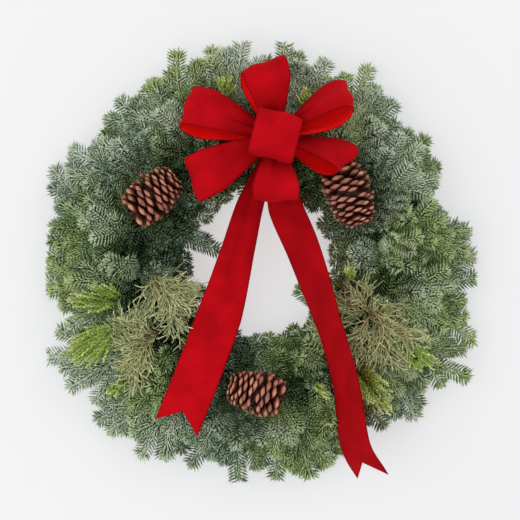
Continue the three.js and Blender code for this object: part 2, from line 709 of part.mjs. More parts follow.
function needleApex(face, frame, leading, owner) {
  const root = face[0].clone().add(face[1]).add(face[2]).divideScalar(3);
  const outward = square(root.clone().sub(frame.origin), frame.tangent);
  const lean = leading ? 1.15 : 0.6;
  const heading = outward.addScaledVector(frame.tangent, lean).add(new THREE.Vector3(0, 0, 0.22)).normalize();
  const facing = new THREE.Triangle(...face).getNormal(new THREE.Vector3());
  if (heading.dot(facing) < leastRise) heading.addScaledVector(facing, leastRise).normalize();
  for (const share of [1, 0.75, 0.5]) {
    const length = needleLength * share * (0.88 + 0.24 * chance(root.x, root.y));
    const spots = Array.from({ length: 9 }, (_, i) => {
      return root.clone().addScaledVector(heading, (length * (i + 0.5)) / 8.5);
    });
    const radiusAt = (i) => 1.1 * (1 - i / 9) + 0.15;
    if (!spots.every((spot, i) => isFree(spot, radiusAt(i), owner))) continue;
    spots.forEach((spot, i) => take(spot, radiusAt(i), owner));
    return root.clone().addScaledVector(heading, length);
  }
  return null;
}

function firBunch(bunch) {
  const stem = stemCurve(bunch);
  const stops = [0, 0.35, 0.7, 1];
  const taper = (ring) => THREE.MathUtils.lerp(stemRadius, stemEndRadius, ring / 3);
  let plant = solidOf(sweep(polygon(4), framesAlong(stem, stops), (ring) => [taper(ring), taper(ring)]));
  twigsOf(bunch).forEach((twig, i) => {
    plant = plant.add(needledTwig(twigCurve(bunch, twig), twig.whorls, `${bunch}/${i}`));
  });
  return plant;
}

// Colours and finishes
const finishes = {
  fir: { color: 0x5f7f68, roughness: 0.7, metalness: 0 },
  cedar: { color: 0x9fb13a, roughness: 0.65, metalness: 0 },
  juniper: { color: 0x8a8742, roughness: 0.75, metalness: 0 },
  cone: { color: 0x8a5540, roughness: 0.8, metalness: 0 },
  velvet: { color: 0xb3101c, roughness: 0.9, metalness: 0 },
  wire: { color: 0x3f4a3c, roughness: 0.5, metalness: 0.6 },
};

const wreath = new THREE.Group();

// Edges shorter than this are merged away
const leastEdge = 0.02;

function place(name, made, finish) {
  const solid = made.simplify(leastEdge);
  const mesh = solid.getMesh();
  const shape = new THREE.BufferGeometry();
  shape.setAttribute("position", new THREE.BufferAttribute(new Float32Array(mesh.vertProperties), 3));
  shape.setIndex(new THREE.BufferAttribute(new Uint32Array(mesh.triVerts), 1));
  shape.computeVertexNormals();
  const piece = new THREE.Mesh(shape, new THREE.MeshStandardMaterial(finishes[finish]));
  piece.name = name;
  wreath.add(piece);
  takeSurface(solid, name);
}

place("wire_ring", wireRing(), "wire");
place("bow_loops", bowLoops(), "velvet");
place("bow_tails", bowTails(), "velvet");
place("bow_tie_wire", bowTieWire(), "wire");
for (const cone of cones) {
  const matrix = conePose(cone).pose.toArray();
  place(`cone_${cone.name}`, pineCone(cone).transform(matrix), "cone");
  place(`cone_wire_${cone.name}`, coneWire(cone), "wire");
}
cedars.forEach((sprig, i) => place(`cedar_${i + 1}`, cedar(sprig), "cedar"));
junipers.forEach((sprig, i) => place(`juniper_${i + 1}`, juniper(sprig), "juniper"));
for (let bunch = 0; bunch < bunchCount; bunch += 1) {
  takeCurve(stemCurve(bunch), stemRadius, `${bunch}/stem`);
  twigsOf(bunch).forEach((twig, i) => takeCurve(twigCurve(bunch, twig), twigRadius, `${bunch}/${i}`));
}
for (let bunch = 0; bunch < bunchCount; bunch += 1) {
  place(`fir_bunch_${String(bunch + 1).padStart(2, "0")}`, firBunch(bunch), "fir");
}

export default wreath;
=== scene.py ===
import json
import math
import bpy
import numpy as np
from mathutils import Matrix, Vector
from mathutils.bvhtree import BVHTree

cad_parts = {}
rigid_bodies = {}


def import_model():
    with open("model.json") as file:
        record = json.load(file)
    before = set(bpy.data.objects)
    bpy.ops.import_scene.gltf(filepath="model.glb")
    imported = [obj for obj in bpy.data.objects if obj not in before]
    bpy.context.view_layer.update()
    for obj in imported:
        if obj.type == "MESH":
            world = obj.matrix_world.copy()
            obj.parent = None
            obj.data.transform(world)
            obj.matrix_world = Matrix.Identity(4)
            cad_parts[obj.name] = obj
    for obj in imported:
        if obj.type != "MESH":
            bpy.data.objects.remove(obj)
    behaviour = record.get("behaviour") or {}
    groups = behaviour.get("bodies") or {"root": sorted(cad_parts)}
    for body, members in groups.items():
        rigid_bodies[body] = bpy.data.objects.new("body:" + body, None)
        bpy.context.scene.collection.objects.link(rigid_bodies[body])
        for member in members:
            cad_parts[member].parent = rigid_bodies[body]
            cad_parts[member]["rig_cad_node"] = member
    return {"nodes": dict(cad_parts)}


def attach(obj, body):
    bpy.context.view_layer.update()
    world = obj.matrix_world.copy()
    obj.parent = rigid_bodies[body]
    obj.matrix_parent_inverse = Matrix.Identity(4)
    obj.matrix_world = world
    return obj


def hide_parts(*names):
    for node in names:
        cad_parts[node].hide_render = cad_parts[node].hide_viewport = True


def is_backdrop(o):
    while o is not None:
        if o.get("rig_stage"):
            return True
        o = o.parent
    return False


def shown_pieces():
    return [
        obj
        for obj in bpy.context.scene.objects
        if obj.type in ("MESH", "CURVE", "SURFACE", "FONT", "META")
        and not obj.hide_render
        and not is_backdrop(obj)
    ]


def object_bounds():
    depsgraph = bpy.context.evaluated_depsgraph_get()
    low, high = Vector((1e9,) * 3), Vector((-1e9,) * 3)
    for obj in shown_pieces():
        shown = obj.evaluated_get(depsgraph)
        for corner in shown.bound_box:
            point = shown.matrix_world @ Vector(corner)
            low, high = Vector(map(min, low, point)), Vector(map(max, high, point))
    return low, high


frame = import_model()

# Fresh evergreen wreath with cones, cedar, juniper and a velvet bow. It lies on its back, front up.
# Lengths are written in millimetres and go into the meshes in metres.
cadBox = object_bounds()
scene = bpy.context.scene
mm = 0.001
lean = np.array([0.21, 0.12, 0.97])  # what a twig's cross-section is squared up to
upward = np.array([0.0, 0.0, 1.0])


# Small helpers
def chance(a, b):
    # the same number from 0 to 1 for the same pair each time
    wave = math.sin(a * 12.9898 + b * 78.233) * 43758.5453
    return wave - math.floor(wave)


def sway(width, a, b):
    # a chance shift to either side, of that width in all
    return width * (chance(a, b) - 0.5)


def at(degrees, radius, height):
    # a point by its direction from the middle, its distance out and its height
    turn = math.radians(degrees)
    return np.array([radius * math.cos(turn), radius * math.sin(turn), height])


def unit(v):
    return v / np.maximum(np.linalg.norm(v, axis=-1, keepdims=True), 1e-9)


def turned(v, axis, degrees):
    # a vector turned about an axis
    turn = math.radians(degrees)
    axis = unit(np.asarray(axis, float))
    kept = axis * np.dot(v, axis) * (1 - math.cos(turn))
    return v * math.cos(turn) + np.cross(axis, v) * math.sin(turn) + kept


def handOf(i):
    # one side and then the other
    return 1 if i % 2 else -1


def bezierPath(controls, count):
    # a smooth path from the first point to the last, drawn towards those between
    t = np.linspace(0, 1, count)[:, None]
    layer = [np.asarray(c, float)[None, :] + 0 * t for c in controls]
    while len(layer) > 1:
        layer = [a * (1 - t) + b * t for a, b in zip(layer, layer[1:])]
    return layer[0]


def pathLength(path):
    return float(np.linalg.norm(np.diff(path, axis=0), axis=1).sum())


def runOf(path):
    # how far along a path each of its points lies
    steps = np.linalg.norm(np.diff(path, axis=0), axis=1)
    return np.concatenate([[0], np.cumsum(steps)])


def spotOn(path, shares):
    # a point of a path at a share of its length, or a row of them
    run = runOf(path)
    places = np.asarray(shares, float) * run[-1]
    return np.stack([np.interp(places, run, path[:, k]) for k in range(3)], -1)


def headingOn(path, shares):
    # which way the path runs there
    step = 0.02
    shares = np.asarray(shares, float)
    return unit(spotOn(path, np.minimum(shares + step, 1)) - spotOn(path, np.maximum(shares - step, 0)))


def skinFaces(rows, sides):
    # triangles over rows of ring points, closed by a fan at each end
    i = (np.arange(rows - 1) * sides)[:, None]
    j = np.arange(sides)[None, :]
    k = (j + 1) % sides
    a, b, c, d = i + j, i + k, i + sides + k, i + sides + j
    fan = np.arange(1, sides - 1)
    last = (rows - 1) * sides
    return np.concatenate([
        np.stack([a, c, b], -1).reshape(-1, 3), np.stack([a, d, c], -1).reshape(-1, 3),
        np.stack([0 * fan, fan, fan + 1], -1), np.stack([last + 0 * fan, last + fan + 1, last + fan], -1)])


def tube(path, radii, sides, tone=0.5, flat=1.0, facing=lean, index=0):
    # closed tube round a path, flattened along facing: points, faces, their two values, material
    tangent = unit(np.gradient(path, axis=0))
    side = unit(np.cross(tangent, facing))
    over = np.cross(side, tangent)
    turn = 2 * np.pi * np.arange(sides) / sides
    ring = side[:, None] * np.cos(turn)[None, :, None] + flat * over[:, None] * np.sin(turn)[None, :, None]
    points = (path[:, None] + ring * np.asarray(radii)[:, None, None]).reshape(-1, 3)
    along = np.repeat(np.linspace(0, 1, len(path)), sides)
    values = np.stack([along, np.full(len(points), tone)], -1)
    return points, skinFaces(len(path), sides), values, index


def woodOn(path, thick, thin, sides):
    # a bare twig, in the piece's second material
    return tube(path, np.linspace(thick, thin, len(path)), sides, index=1)


def placed(name, data):
    # an object of its own in the scene
    thing = bpy.data.objects.new(name, data)
    scene.collection.objects.link(thing)
    return thing


def makePiece(name, parts, materials, node):
    # one piece from parts of points, faces, values and material, in place of one node of the CAD
    offsets = np.cumsum([0] + [len(part[0]) for part in parts])
    points = np.concatenate([part[0] for part in parts])
    faces = np.concatenate([part[1] + offset for part, offset in zip(parts, offsets)])
    values = np.concatenate([part[2] for part in parts])
    index = np.concatenate([np.full(len(part[1]), part[3]) for part in parts])
    mesh = bpy.data.meshes.new(name)
    mesh.from_pydata(points * mm, [], faces)
    # two numbers kept on every point for the materials: how far along its part it lies, and a tone
    for column, label in enumerate(("along", "tone")):
        layer = mesh.attributes.new(label, "FLOAT", "POINT")
        layer.data.foreach_set("value", np.ascontiguousarray(values[:, column], dtype=np.float32))
    for material in materials:
        mesh.materials.append(material)
    mesh.polygons.foreach_set("material_index", index.astype(np.int32))
    mesh.polygons.foreach_set("use_smooth", np.full(len(faces), True))
    mesh.update()
    piece = placed(name, mesh)
    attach(piece, "root")
    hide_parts(node)
    return piece


# Materials
def linear(rgb):
    # a screen colour from 0 to 255 as the shaders take it
    return (*[c / 255 / 12.92 if c < 10.3 else ((c / 255 + 0.055) / 1.055) ** 2.4 for c in rgb], 1)


def newMaterial(name, settings):
    material = bpy.data.materials.new(name)
    material.use_nodes = True
    shader = material.node_tree.nodes["Principled BSDF"]
    for socket, value in settings.items():
        shader.inputs[socket].default_value = value
    return material, material.node_tree, shader


def addNode(tree, kind, **settings):
    node = tree.nodes.new(kind)
    for key, value in settings.items():
        if key in node.inputs:
            node.inputs[key].default_value = value
        else:
            setattr(node, key, value)
    return node


def valueOf(tree, source):
    # a value that the mesh carries, by its name, or noise, by its scale and detail
    if isinstance(source, str):
        return addNode(tree, "ShaderNodeAttribute", attribute_name=source).outputs["Fac"]
    node = addNode(tree, "ShaderNodeTexNoise", Scale=source[0], Detail=source[1])
    place = addNode(tree, "ShaderNodeTexCoord").outputs["Object"]
    tree.links.new(place, node.inputs["Vector"])
    return node.outputs["Fac"]


def ramp(tree, source, stops):
    # stops are places from 0 to 1 and their colours
    node = addNode(tree, "ShaderNodeValToRGB")
    elements = node.color_ramp.elements
    while len(elements) < len(stops):
        elements.new(0.5)
    for element, (place, colour) in zip(elements, stops):
        element.position = place
        element.color = linear(colour)
    tree.links.new(valueOf(tree, source), node.inputs["Fac"])
    return node.outputs["Color"]


def layered(tree, under, source, stops, amount):
    # multiplies what is under it by its colours, or mixes them in where the amount is a source and a ramp
    mixes = isinstance(amount, tuple)
    node = addNode(tree, "ShaderNodeMix", data_type="RGBA", blend_type="MIX" if mixes else "MULTIPLY")
    # the mix's sockets 0, 6 and 7 are its factor and its two colours
    tree.links.new(under, node.inputs[6])
    tree.links.new(ramp(tree, source, stops), node.inputs[7])
    if mixes:
        tree.links.new(ramp(tree, *amount), node.inputs[0])
    else:
        node.inputs[0].default_value = amount
    return node.outputs[2]


def surface(name, settings, layers, grain):
    # layers hold a source and its colours, and all but the first an amount; grain holds the bump's noise,
    # strength and depth
    material, tree, shader = newMaterial(name, settings)
    colour = ramp(tree, *layers[0])
    for layer in layers[1:]:
        colour = layered(tree, colour, *layer)
    tree.links.new(colour, shader.inputs["Base Color"])
    source, strength, depth = grain
    bump = addNode(tree, "ShaderNodeBump", Strength=strength, Distance=depth)
    tree.links.new(valueOf(tree, source), bump.inputs["Height"])
    tree.links.new(bump.outputs["Normal"], shader.inputs["Normal"])
    return material


def needleMaterial():
    # blue-green with a pale bloom in places, yellow-green in others, paler towards the needle's tip
    silver = [(0.0, (44, 66, 42)), (0.5, (135, 161, 127)), (1.0, (236, 247, 228))]
    leafy = [(0.0, (46, 70, 34)), (0.5, (130, 158, 92)), (1.0, (218, 233, 170))]
    patch = [(0.42, (0, 0, 0)), (0.62, (255, 255, 255))]
    length = [(0.0, (92, 98, 76)), (0.7, (236, 240, 228)), (1.0, (255, 255, 246))]
    layers = [("tone", silver), ("tone", leafy, ((9, 2), patch)), ("along", length, 0.85)]
    settings = {"Roughness": 0.5, "Specular IOR Level": 0.4}
    return surface("firNeedles", settings, layers, ((900, 3), 0.15, 0.0004))


def barkMaterial(name, light, dark):
    layers = [((240, 5), [(0.35, dark), (0.65, light)])]
    return surface(name, {"Roughness": 0.8}, layers, ((600, 5), 0.5, 0.0006))


# Camera, floor and light
view = {
    "mmPerPixel": 1.40,
    "pixels": 520,
    "middlePixel": (261, 263),
    "distance": 3000.0,
    "seenHeight": 60.0,  # at this height a pixel is as wide as given above
    "lens": 50.0,
}


def makeCamera():
    width = view["mmPerPixel"] * view["pixels"]
    camera = bpy.data.cameras.new("camera")
    camera.sensor_width = view["lens"] * width / view["distance"]
    camera.lens = view["lens"]
    camera.clip_end = 100
    eye = placed("camera", camera)
    half = view["pixels"] / 2
    x = (half - view["middlePixel"][0]) * view["mmPerPixel"]
    y = (view["middlePixel"][1] - half) * view["mmPerPixel"]
    eye.location = Vector((x, y, view["seenHeight"] + view["distance"])) * mm
    scene.camera = eye


studio = {
    "floor": (160, 160, 161),
    "floorGlow": 0.535,
    "floorSize": 12,
    "sky": 0.74,
    "skyColour": (0.97, 0.985, 1, 1),
    "key": {"at": (-1.4, -0.5, 2.6), "size": 2.6, "watts": 30},
    "fill": {"at": (1.4, 2.0, 2.6), "size": 2.4, "watts": 17},
}


def makeStudio():
    # the floor lies half a millimetre under the ring, which rests at height 0
    bpy.ops.mesh.primitive_plane_add(size=studio["floorSize"], location=(0, 0, -0.5 * mm))
    floor = bpy.context.object
    floor.name = "floor"
    settings = {"Roughness": 0.9, "Specular IOR Level": 0.1, "Base Color": linear(studio["floor"]),
                "Emission Color": (1, 1, 1, 1), "Emission Strength": studio["floorGlow"]}
    floor.data.materials.append(newMaterial("paleFloor", settings)[0])
    floor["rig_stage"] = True
    world = bpy.data.worlds.new("studio")
    world.use_nodes = True
    sky = world.node_tree.nodes["Background"]
    sky.inputs["Color"].default_value = studio["skyColour"]
    sky.inputs["Strength"].default_value = studio["sky"]
    scene.world = world
    for name in ("key", "fill"):
        lamp = studio[name]
        light = bpy.data.lights.new(name, "AREA")
        light.size = lamp["size"]
        light.energy = lamp["watts"]
        holder = placed(name, light)
        holder.location = lamp["at"]
        holder.rotation_euler = (-Vector(lamp["at"])).to_track_quat("-Z", "Y").to_euler()
    scene.view_settings.view_transform = "Standard"


makeCamera()
makeStudio()
print("camera and studio ready")


# Velvet bow
bow = {
    "width": 63.5,
    "thickness": 1.1,
    "neck": (20.0, 175.0, 94.0),
    "root": 7.5,  # how far from the neck's middle the loops begin
    "gathered": 12,  # the ribbon's width at the neck
    "pleatDepth": 7.0,
    "crown": -2.0,  # how far the loops' ribbon bulges between its edges
    "rows": 56,
    "columns": 17,
    "tailRows": 90,
    "knotSides": 60,
    "knotRows": 26,
    "loops": [
        {"angle": 100, "length": 102, "depth": 22, "lift": 7, "roll": 9, "skew": 10},
        {"angle": 162, "length": 130, "depth": 16, "lift": 4, "roll": 26, "skew": 0},
        {"angle": 208, "length": 130, "depth": 20, "lift": 3, "roll": 0, "skew": -10},
        {"angle": 28, "length": 118, "depth": 15, "lift": 12, "roll": -54, "skew": 0},
        {"angle": -20, "length": 106, "depth": 12, "lift": 9, "roll": -50, "skew": -14},
        {"angle": -90, "length": 88, "depth": 23, "lift": 6, "roll": -2, "skew": 0},
    ],
    "centre": {"length": 70, "height": 46, "base": 6, "angle": -14},
    # the knot's heights and radii
    "knot": [(72.5, 10.6), (78, 10.8), (82, 12.5), (86, 17), (91, 20), (97, 20.5), (101, 18), (104, 12)],
    # the tails' stations: x, y and height of the middle, width, and roll in degrees
    "leftTail": [
        (20, 172, 70.4, 14, 0), (3, 128, 67, 26, 0), (-15, 81, 66, 38, -8),
        (-32, 18, 72, 48, -14), (-57, -71, 86, 62, -6), (-85, -147, 92, 63.5, 4),
        (-104, -196, 88, 63.5, 2), (-118, -229, 82, 63.5, 0),
    ],
    "rightTail": [
        (20, 172, 70.4, 14, 0), (24, 128, 67, 30, 8), (33, 81, 68, 50, 16),
        (59, 18, 80, 58, 38), (93, -80, 98, 63.5, 56), (117, -171, 104, 63.5, 57),
        (132, -255, 92, 63.5, 54), (156, -296, 80, 63.5, 52),
    ],
    "notch": 26,  # depth of the swallow tails
}


def velvetMaterial(name, deep, light, shade):
    # pile with painted shade in the gathers (tone), as much as the shade asks, and darker along the selvedges
    # (along)
    settings = {"Roughness": 0.9, "Specular IOR Level": 0.08, "Sheen Weight": 0.16, "Sheen Roughness": 0.55,
                "Sheen Tint": linear((255, 30, 30))}
    plain = (255, 255, 255)
    layers = [
        ((26, 3), [(0.35, deep), (0.65, light)]),
        ((900, 3), [(0.3, (226, 214, 214)), (0.7, plain)], 0.5),
        # painted shade: darker where the ribbon is gathered narrow
        ("tone", [(0.0, plain), (1.0, (150, 132, 140))], shade),
        ("along", [(0.93, plain), (1.0, (188, 170, 176))], 0.9),
    ]
    return surface(name, settings, layers, ((1500, 2), 0.2, 0.0003))


def ribbonGrid(centres, sides, normals, widths, pleats):
    # rows along the ribbon, columns across it, pleated where it is gathered narrow
    across = np.linspace(-0.5, 0.5, bow["columns"])
    squeeze = 1 - np.clip(widths / bow["width"], 0, 1)
    fold = np.cos(across * 2 * np.pi * pleats)[None, :] * (squeeze[:, None] ** 1.1) * bow["pleatDepth"]
    share = np.linspace(0, 1, len(centres))[:, None]
    dent = 1.3 * np.sin(across * 9 + pleats * 3 + 5 * share) * np.sin(np.pi * share)
    arch = bow["crown"] * (1 - (2 * across[None, :]) ** 2) * (1 - squeeze[:, None])
    points = centres[:, None] + sides[:, None] * (across[None, :] * widths[:, None])[:, :, None]
    points = points + normals[:, None] * (fold + arch + dent)[:, :, None]
    edge = np.broadcast_to(np.abs(2 * across)[None, :], fold.shape)
    # the second value is how much the ribbon is gathered there, which the velvet turns into painted shade
    return points, np.stack([edge, np.broadcast_to(squeeze[:, None], fold.shape)], -1)


def gridFaces(rows, columns):
    i = (np.arange(rows - 1) * columns)[:, None]
    j = np.arange(columns - 1)[None, :]
    return np.stack([i + j, i + j + 1, i + columns + j + 1, i + columns + j], -1).reshape(-1, 4)


def loopRun(loop):
    # the middle line of one loop, out from the neck and back, and the direction across its ribbon
    out = unit(at(loop["angle"], 1, math.tan(math.radians(loop["lift"]))))
    rise = turned(upward, out, loop["roll"])
    across = turned(at(loop["angle"] - 90 + loop["skew"], 1, 0), out, loop["roll"])
    power = 1.5
    start = math.asin((bow["root"] / loop["length"]) ** (1 / power)) / math.pi
    t = np.linspace(start, 1 - start, bow["rows"])
    swell = np.sin(np.pi * t)
    centres = np.array(bow["neck"]) + out * (loop["length"] * swell ** power)[:, None]
    centres = centres + rise * (loop["depth"] * 1.3 * np.sin(2 * np.pi * t) * swell)[:, None]
    return t, centres, across


def centreRun(centre):
    # the same for the centre loop
    out, across = at(90 + centre["angle"], 1, 0), at(180 + centre["angle"], 1, 0)
    t = np.linspace(0.05, 0.95, bow["rows"])
    turn = 2 * np.pi * t
    wide = centre["length"] / 2 * np.sin(turn) * np.sin(np.pi * t) ** 0.4
    centres = np.array(bow["neck"]) + out * wide[:, None]
    centres[:, 2] += centre["base"] + centre["height"] / 2 * (1 - np.cos(turn))
    return t, centres, across


def loopSheet(t, centres, across, pleats):
    tangent = unit(np.gradient(centres, axis=0))
    side = unit(across - tangent * (tangent @ across)[:, None])
    normal = np.cross(tangent, side)
    narrow = bow["gathered"]
    widths = narrow + (bow["width"] - narrow) * np.minimum(1, np.sin(np.pi * t) * 1.2) ** 1.35
    return ribbonGrid(centres, side, normal, widths, pleats)


def softCurve(stations, t):
    # centripetal curve through the stations, as the tails' solids follow
    p = np.array([s[:3] for s in stations], float)
    p = np.vstack([2 * p[0] - p[1], p, 2 * p[-1] - p[-2]])
    places = []
    for share in t:
        place = min(share * (len(stations) - 1), len(stations) - 1 - 1e-9)
        k = int(place)
        w = place - k
        a, b, c, d = p[k:k + 4]
        u, v, x = [max(np.sum((q - r) ** 2) ** 0.25, 1e-6) for q, r in ((b, a), (c, b), (d, c))]
        first = ((b - a) / u - (c - a) / (u + v) + (c - b) / v) * v
        second = ((c - b) / v - (d - b) / (v + x) + (d - c) / x) * v
        places.append(b + first * w + (3 * (c - b) - 2 * first - second) * w ** 2
                      + (2 * (b - c) + first + second) * w ** 3)
    return np.array(places)


def tailSheet(stations, ripple, paintedShade):
    # one tail, column by column, each cut where the swallow tail ends it
    rows, columns = bow["tailRows"], bow["columns"]
    even = np.linspace(0, 1, 400)
    fine = softCurve(stations, even)
    length = pathLength(fine)
    run = runOf(fine) / length
    column = np.array(stations, float)
    grid = np.zeros((rows, columns, 3))
    values = np.zeros((rows, columns, 2))
    for j, a in enumerate(np.linspace(-0.5, 0.5, columns)):
        reach = 1 - bow["notch"] / length * (1 - 2 * abs(a))
        shares = np.linspace(0, reach, rows)
        t = np.interp(shares, run, even)
        centres = softCurve(stations, t)
        tangent = headingOn(fine, shares)
        place = t * (len(stations) - 1)
        widths = np.interp(place, np.arange(len(stations)), column[:, 3])
        rolls = np.interp(place, np.arange(len(stations)), column[:, 4])
        level = unit(np.cross(tangent, upward))
        side = np.array([turned(s, g, r) for s, g, r in zip(level, tangent, rolls)])
        normal = np.cross(tangent, side)
        squeeze = 1 - np.clip(widths / bow["width"], 0, 1)
        fold = np.cos(a * 2 * np.pi * 2) * squeeze ** 1.2 * 5 - 1.2 * (1 - 4 * a * a)
        wave = ripple * np.sin(shares * length / 46 + a * 1.5) * np.clip(shares * 3 - 0.6, 0, 1)
        grid[:, j] = centres + side * (a * widths)[:, None] + normal * (fold + wave)[:, None]
        values[:, j, 0] = abs(2 * a)
        # painted shade: the gathers, and no less than the given amount all along the tail
        values[:, j, 1] = np.maximum(squeeze, paintedShade)
    return grid, values


def makeCloth(name, sheets, materials, node):
    # a ribbon of its own thickness, whose other side wears the second material
    parts = []
    for grid, values in sheets:
        parts.append((grid.reshape(-1, 3), gridFaces(*grid.shape[:2]), values.reshape(-1, 2), 0))
    cloth = makePiece(name, parts, materials, node)
    thick = cloth.modifiers.new("thickness", "SOLIDIFY")
    thick.thickness = bow["thickness"] * mm
    thick.offset = 0
    thick.material_offset = 1
    return cloth


def bowKnot(material):
    # the gathered middle of the loops, pleated round the tie
    rows, sides = bow["knotRows"], bow["knotSides"]
    heights, radii = np.array(bow["knot"]).T
    levels = np.linspace(heights[0], heights[-1], rows)
    path = np.stack([np.full(rows, bow["neck"][0]), np.full(rows, bow["neck"][1]), levels], -1)
    # its tone paints the knot with the gathers' shade
    points, faces, values, index = tube(path, np.interp(levels, heights, radii), sides, 0.6, facing=(0, 1, 0))
    turn = np.tile(np.arange(sides) * 2 * np.pi / sides, rows)
    middle = np.repeat(path, sides, axis=0)
    pleat = 1 - 0.05 * (1 + np.cos(11 * turn + 0.09 * points[:, 2])) / 2
    points = middle + (points - middle) * pleat[:, None]
    values[:, 0] = 0
    part = (points, faces, values, index)
    return makePiece("bow_knot_velvet", [part], [material], "bow_loops")


def makeBow():
    face = velvetMaterial("redVelvet", (170, 2, 14), (196, 5, 20), 0.9)
    # the loops' insides: the ribbon's satin back, painted far brighter than the face as light caught inside
    # the loops, and with less painted shade in the gathers
    inside = velvetMaterial("redVelvetPaintedLitInside", (240, 10, 12), (255, 22, 20), 0.3)
    velvets = [face, inside]
    runs = [*[loopRun(loop) for loop in bow["loops"]], centreRun(bow["centre"])]
    sheets = [loopSheet(*run, 1.5 + number % 2) for number, run in enumerate(runs)]
    loops = makeCloth("bow_loops_velvet", sheets, velvets, "bow_loops")
    # the right tail is painted darker all along, as shade where it turns away from the light
    sheets = [tailSheet(bow["leftTail"], 1.2, 0), tailSheet(bow["rightTail"], 1.6, 0.3)]
    tails = makeCloth("bow_tails_velvet", sheets, velvets, "bow_tails")
    return loops, tails, bowKnot(face)


bowPieces = makeBow()


# Pine cones
cones = {
    "left": {"at": (-149, 96, 76), "heading": 42, "dip": 4, "length": 80, "width": 66},
    "right": {"at": (124, 92, 72), "heading": 291, "dip": 0, "length": 84, "width": 70},
    "bottom": {"at": (-9, -180, 74), "heading": 166, "dip": 4, "length": 75, "width": 64},
}
coneScales = {
    "count": 112,
    "turn": 137.508,  # degrees from one scale to the next
    "wide": 18,
    "thick": 6.4,
    "section": 8,  # points round a scale
    "core": 0.5,  # the core's width, as a share of the cone's
    # where along the cone, and its share of the full radius there
    "profile": ([0.05, 0.16, 0.3, 0.45, 0.65, 0.8, 0.92], [0.62, 0.86, 1, 0.96, 0.76, 0.54, 0.3]),
    # from the base to the tip: how far the scales lean forward, and their size
    "forward": ([0, 0.16, 0.5, 1], [-0.5, -0.12, 0.36, 1.1]),
    "size": ([0, 0.2, 0.6, 0.85, 1], [1.0, 1.1, 0.98, 0.74, 0.5]),
    # along one scale: where, and its share of the full width and thickness there
    "stations": [(0.0, 0.34, 0.3), (0.34, 0.6, 0.34), (0.64, 0.9, 0.5), (0.84, 1.0, 0.8),
                 (0.93, 0.9, 1.0), (1.0, 0.6, 0.7), (1.03, 0.14, 0.2)],
}


def coneMaterial():
    # darker in the gaps and paler at the scales' ends, some warmer than others
    wood = [(0.0, (54, 26, 20)), (0.6, (90, 42, 32)), (0.84, (108, 56, 42)), (0.95, (164, 106, 88)),
            (1.0, (226, 182, 160))]
    grain = [(0.3, (176, 150, 140)), (0.7, (255, 250, 245))]
    warm = [(0.0, (166, 130, 120)), (0.5, (240, 196, 186)), (1.0, (255, 250, 228))]
    layers = [("along", wood), ((170, 5), grain, 0.9), ("tone", warm, 0.8)]
    settings = {"Roughness": 0.72, "Specular IOR Level": 0.3}
    return surface("coneScales", settings, layers, ((420, 5), 0.45, 0.0008))


def coneRadius(s, width):
    # broadest near the base, then tapering to the tip
    return width / 2 * float(np.interp(s, *coneScales["profile"]))


def coneScale(root, out, across, reach, wide, thick, tone):
    # a woody scale: thin stalk, broadening plate, and a thick rhombic end with a small point
    section, stations = coneScales["section"], coneScales["stations"]
    turn = 2 * np.pi * np.arange(section) / section
    level = np.sign(np.cos(turn)) * np.abs(np.cos(turn)) ** 1.5
    steep = np.sign(np.sin(turn)) * np.abs(np.sin(turn)) ** 1.5
    over = np.cross(out, across)
    rings = []
    for s, w, h in stations:
        middle = root + out * (reach * s) - over * (0.6 * thick * s * s)
        breadth, height = level * w * wide / 2, steep * h * thick / 2
        rings.append(middle + across * breadth[:, None] + over * height[:, None])
    along = np.repeat([s[0] for s in stations], section)
    values = np.stack([along, np.full(len(along), tone)], -1)
    return np.concatenate(rings), skinFaces(len(stations), section)[:, ::-1], values, 0


def conePoint(cone, s, angle, radius):
    # a point in the cone, its axis and the direction out from it
    dip = math.radians(cone["dip"])
    axis = at(cone["heading"], math.cos(dip), -math.sin(dip))
    side = unit(np.cross(axis, upward))
    top = np.cross(side, axis)
    out = side * math.cos(angle) + top * math.sin(angle)
    return np.array(cone["at"]) + axis * ((s - 0.5) * cone["length"]) + out * radius, axis, out


def makeCone(name, cone, material, bark):
    parts = []
    count = coneScales["count"]
    for i in range(count):
        share = (i + 0.5) / count
        s = 0.16 + 0.72 * share ** 1.05  # the scales stand from the base to near the tip
        angle = math.radians(i * coneScales["turn"])
        radius = coneRadius(s, cone["width"])
        root, axis, out = conePoint(cone, s, angle, radius * 0.12)
        forward = float(np.interp(share, *coneScales["forward"]))
        ahead = unit(out + axis * (forward + sway(0.24, i, 6)))
        across = unit(np.cross(axis, out))
        size = float(np.interp(share, *coneScales["size"])) * (0.9 + 0.2 * chance(i, 5))
        reach = radius * (0.8 + 0.08 * chance(i, cone["width"])) / max(0.5, float(ahead @ out))
        reach = min(reach, radius * 1.15)
        wide, thick = coneScales["wide"] * size, coneScales["thick"] * size
        parts.append(coneScale(root, ahead, across, reach, wide, thick, chance(i, 3)))
    start, end = conePoint(cone, -0.1, 0, 0)[0], conePoint(cone, 0.95, 0, 0)[0]
    core = bezierPath([start, (start + end) / 2, end], 12)
    wide = coneScales["core"] * cone["width"] / 2
    girth = [2.4, 3, 0.9 * wide, wide, 0.5 * wide, 2]
    radii = np.interp(np.linspace(0, 1, 12), [0, 0.16, 0.4, 0.55, 0.8, 1], girth)
    parts.append(tube(core, radii, 10, index=1))
    return makePiece(f"cone_{name}_scales", parts, [material, bark], f"cone_{name}")


woody = coneMaterial()
coneBark = barkMaterial("coneCore", (92, 52, 38), (46, 24, 18))
conePieces = [makeCone(name, cone, woody, coneBark) for name, cone in cones.items()]
print("cones:", len(conePieces))


def treeOf(pieces):
    # everything that no green may run through
    graph = bpy.context.evaluated_depsgraph_get()
    points, faces, offset = [], [], 0
    for piece in pieces:
        mesh = piece.evaluated_get(graph).to_mesh()
        points += [v.co.copy() for v in mesh.vertices]
        faces += [[i + offset for i in polygon.vertices] for polygon in mesh.polygons]
        offset = len(points)
    return BVHTree.FromPolygons(points, faces)


obstacles = treeOf([*bowPieces, *conePieces])


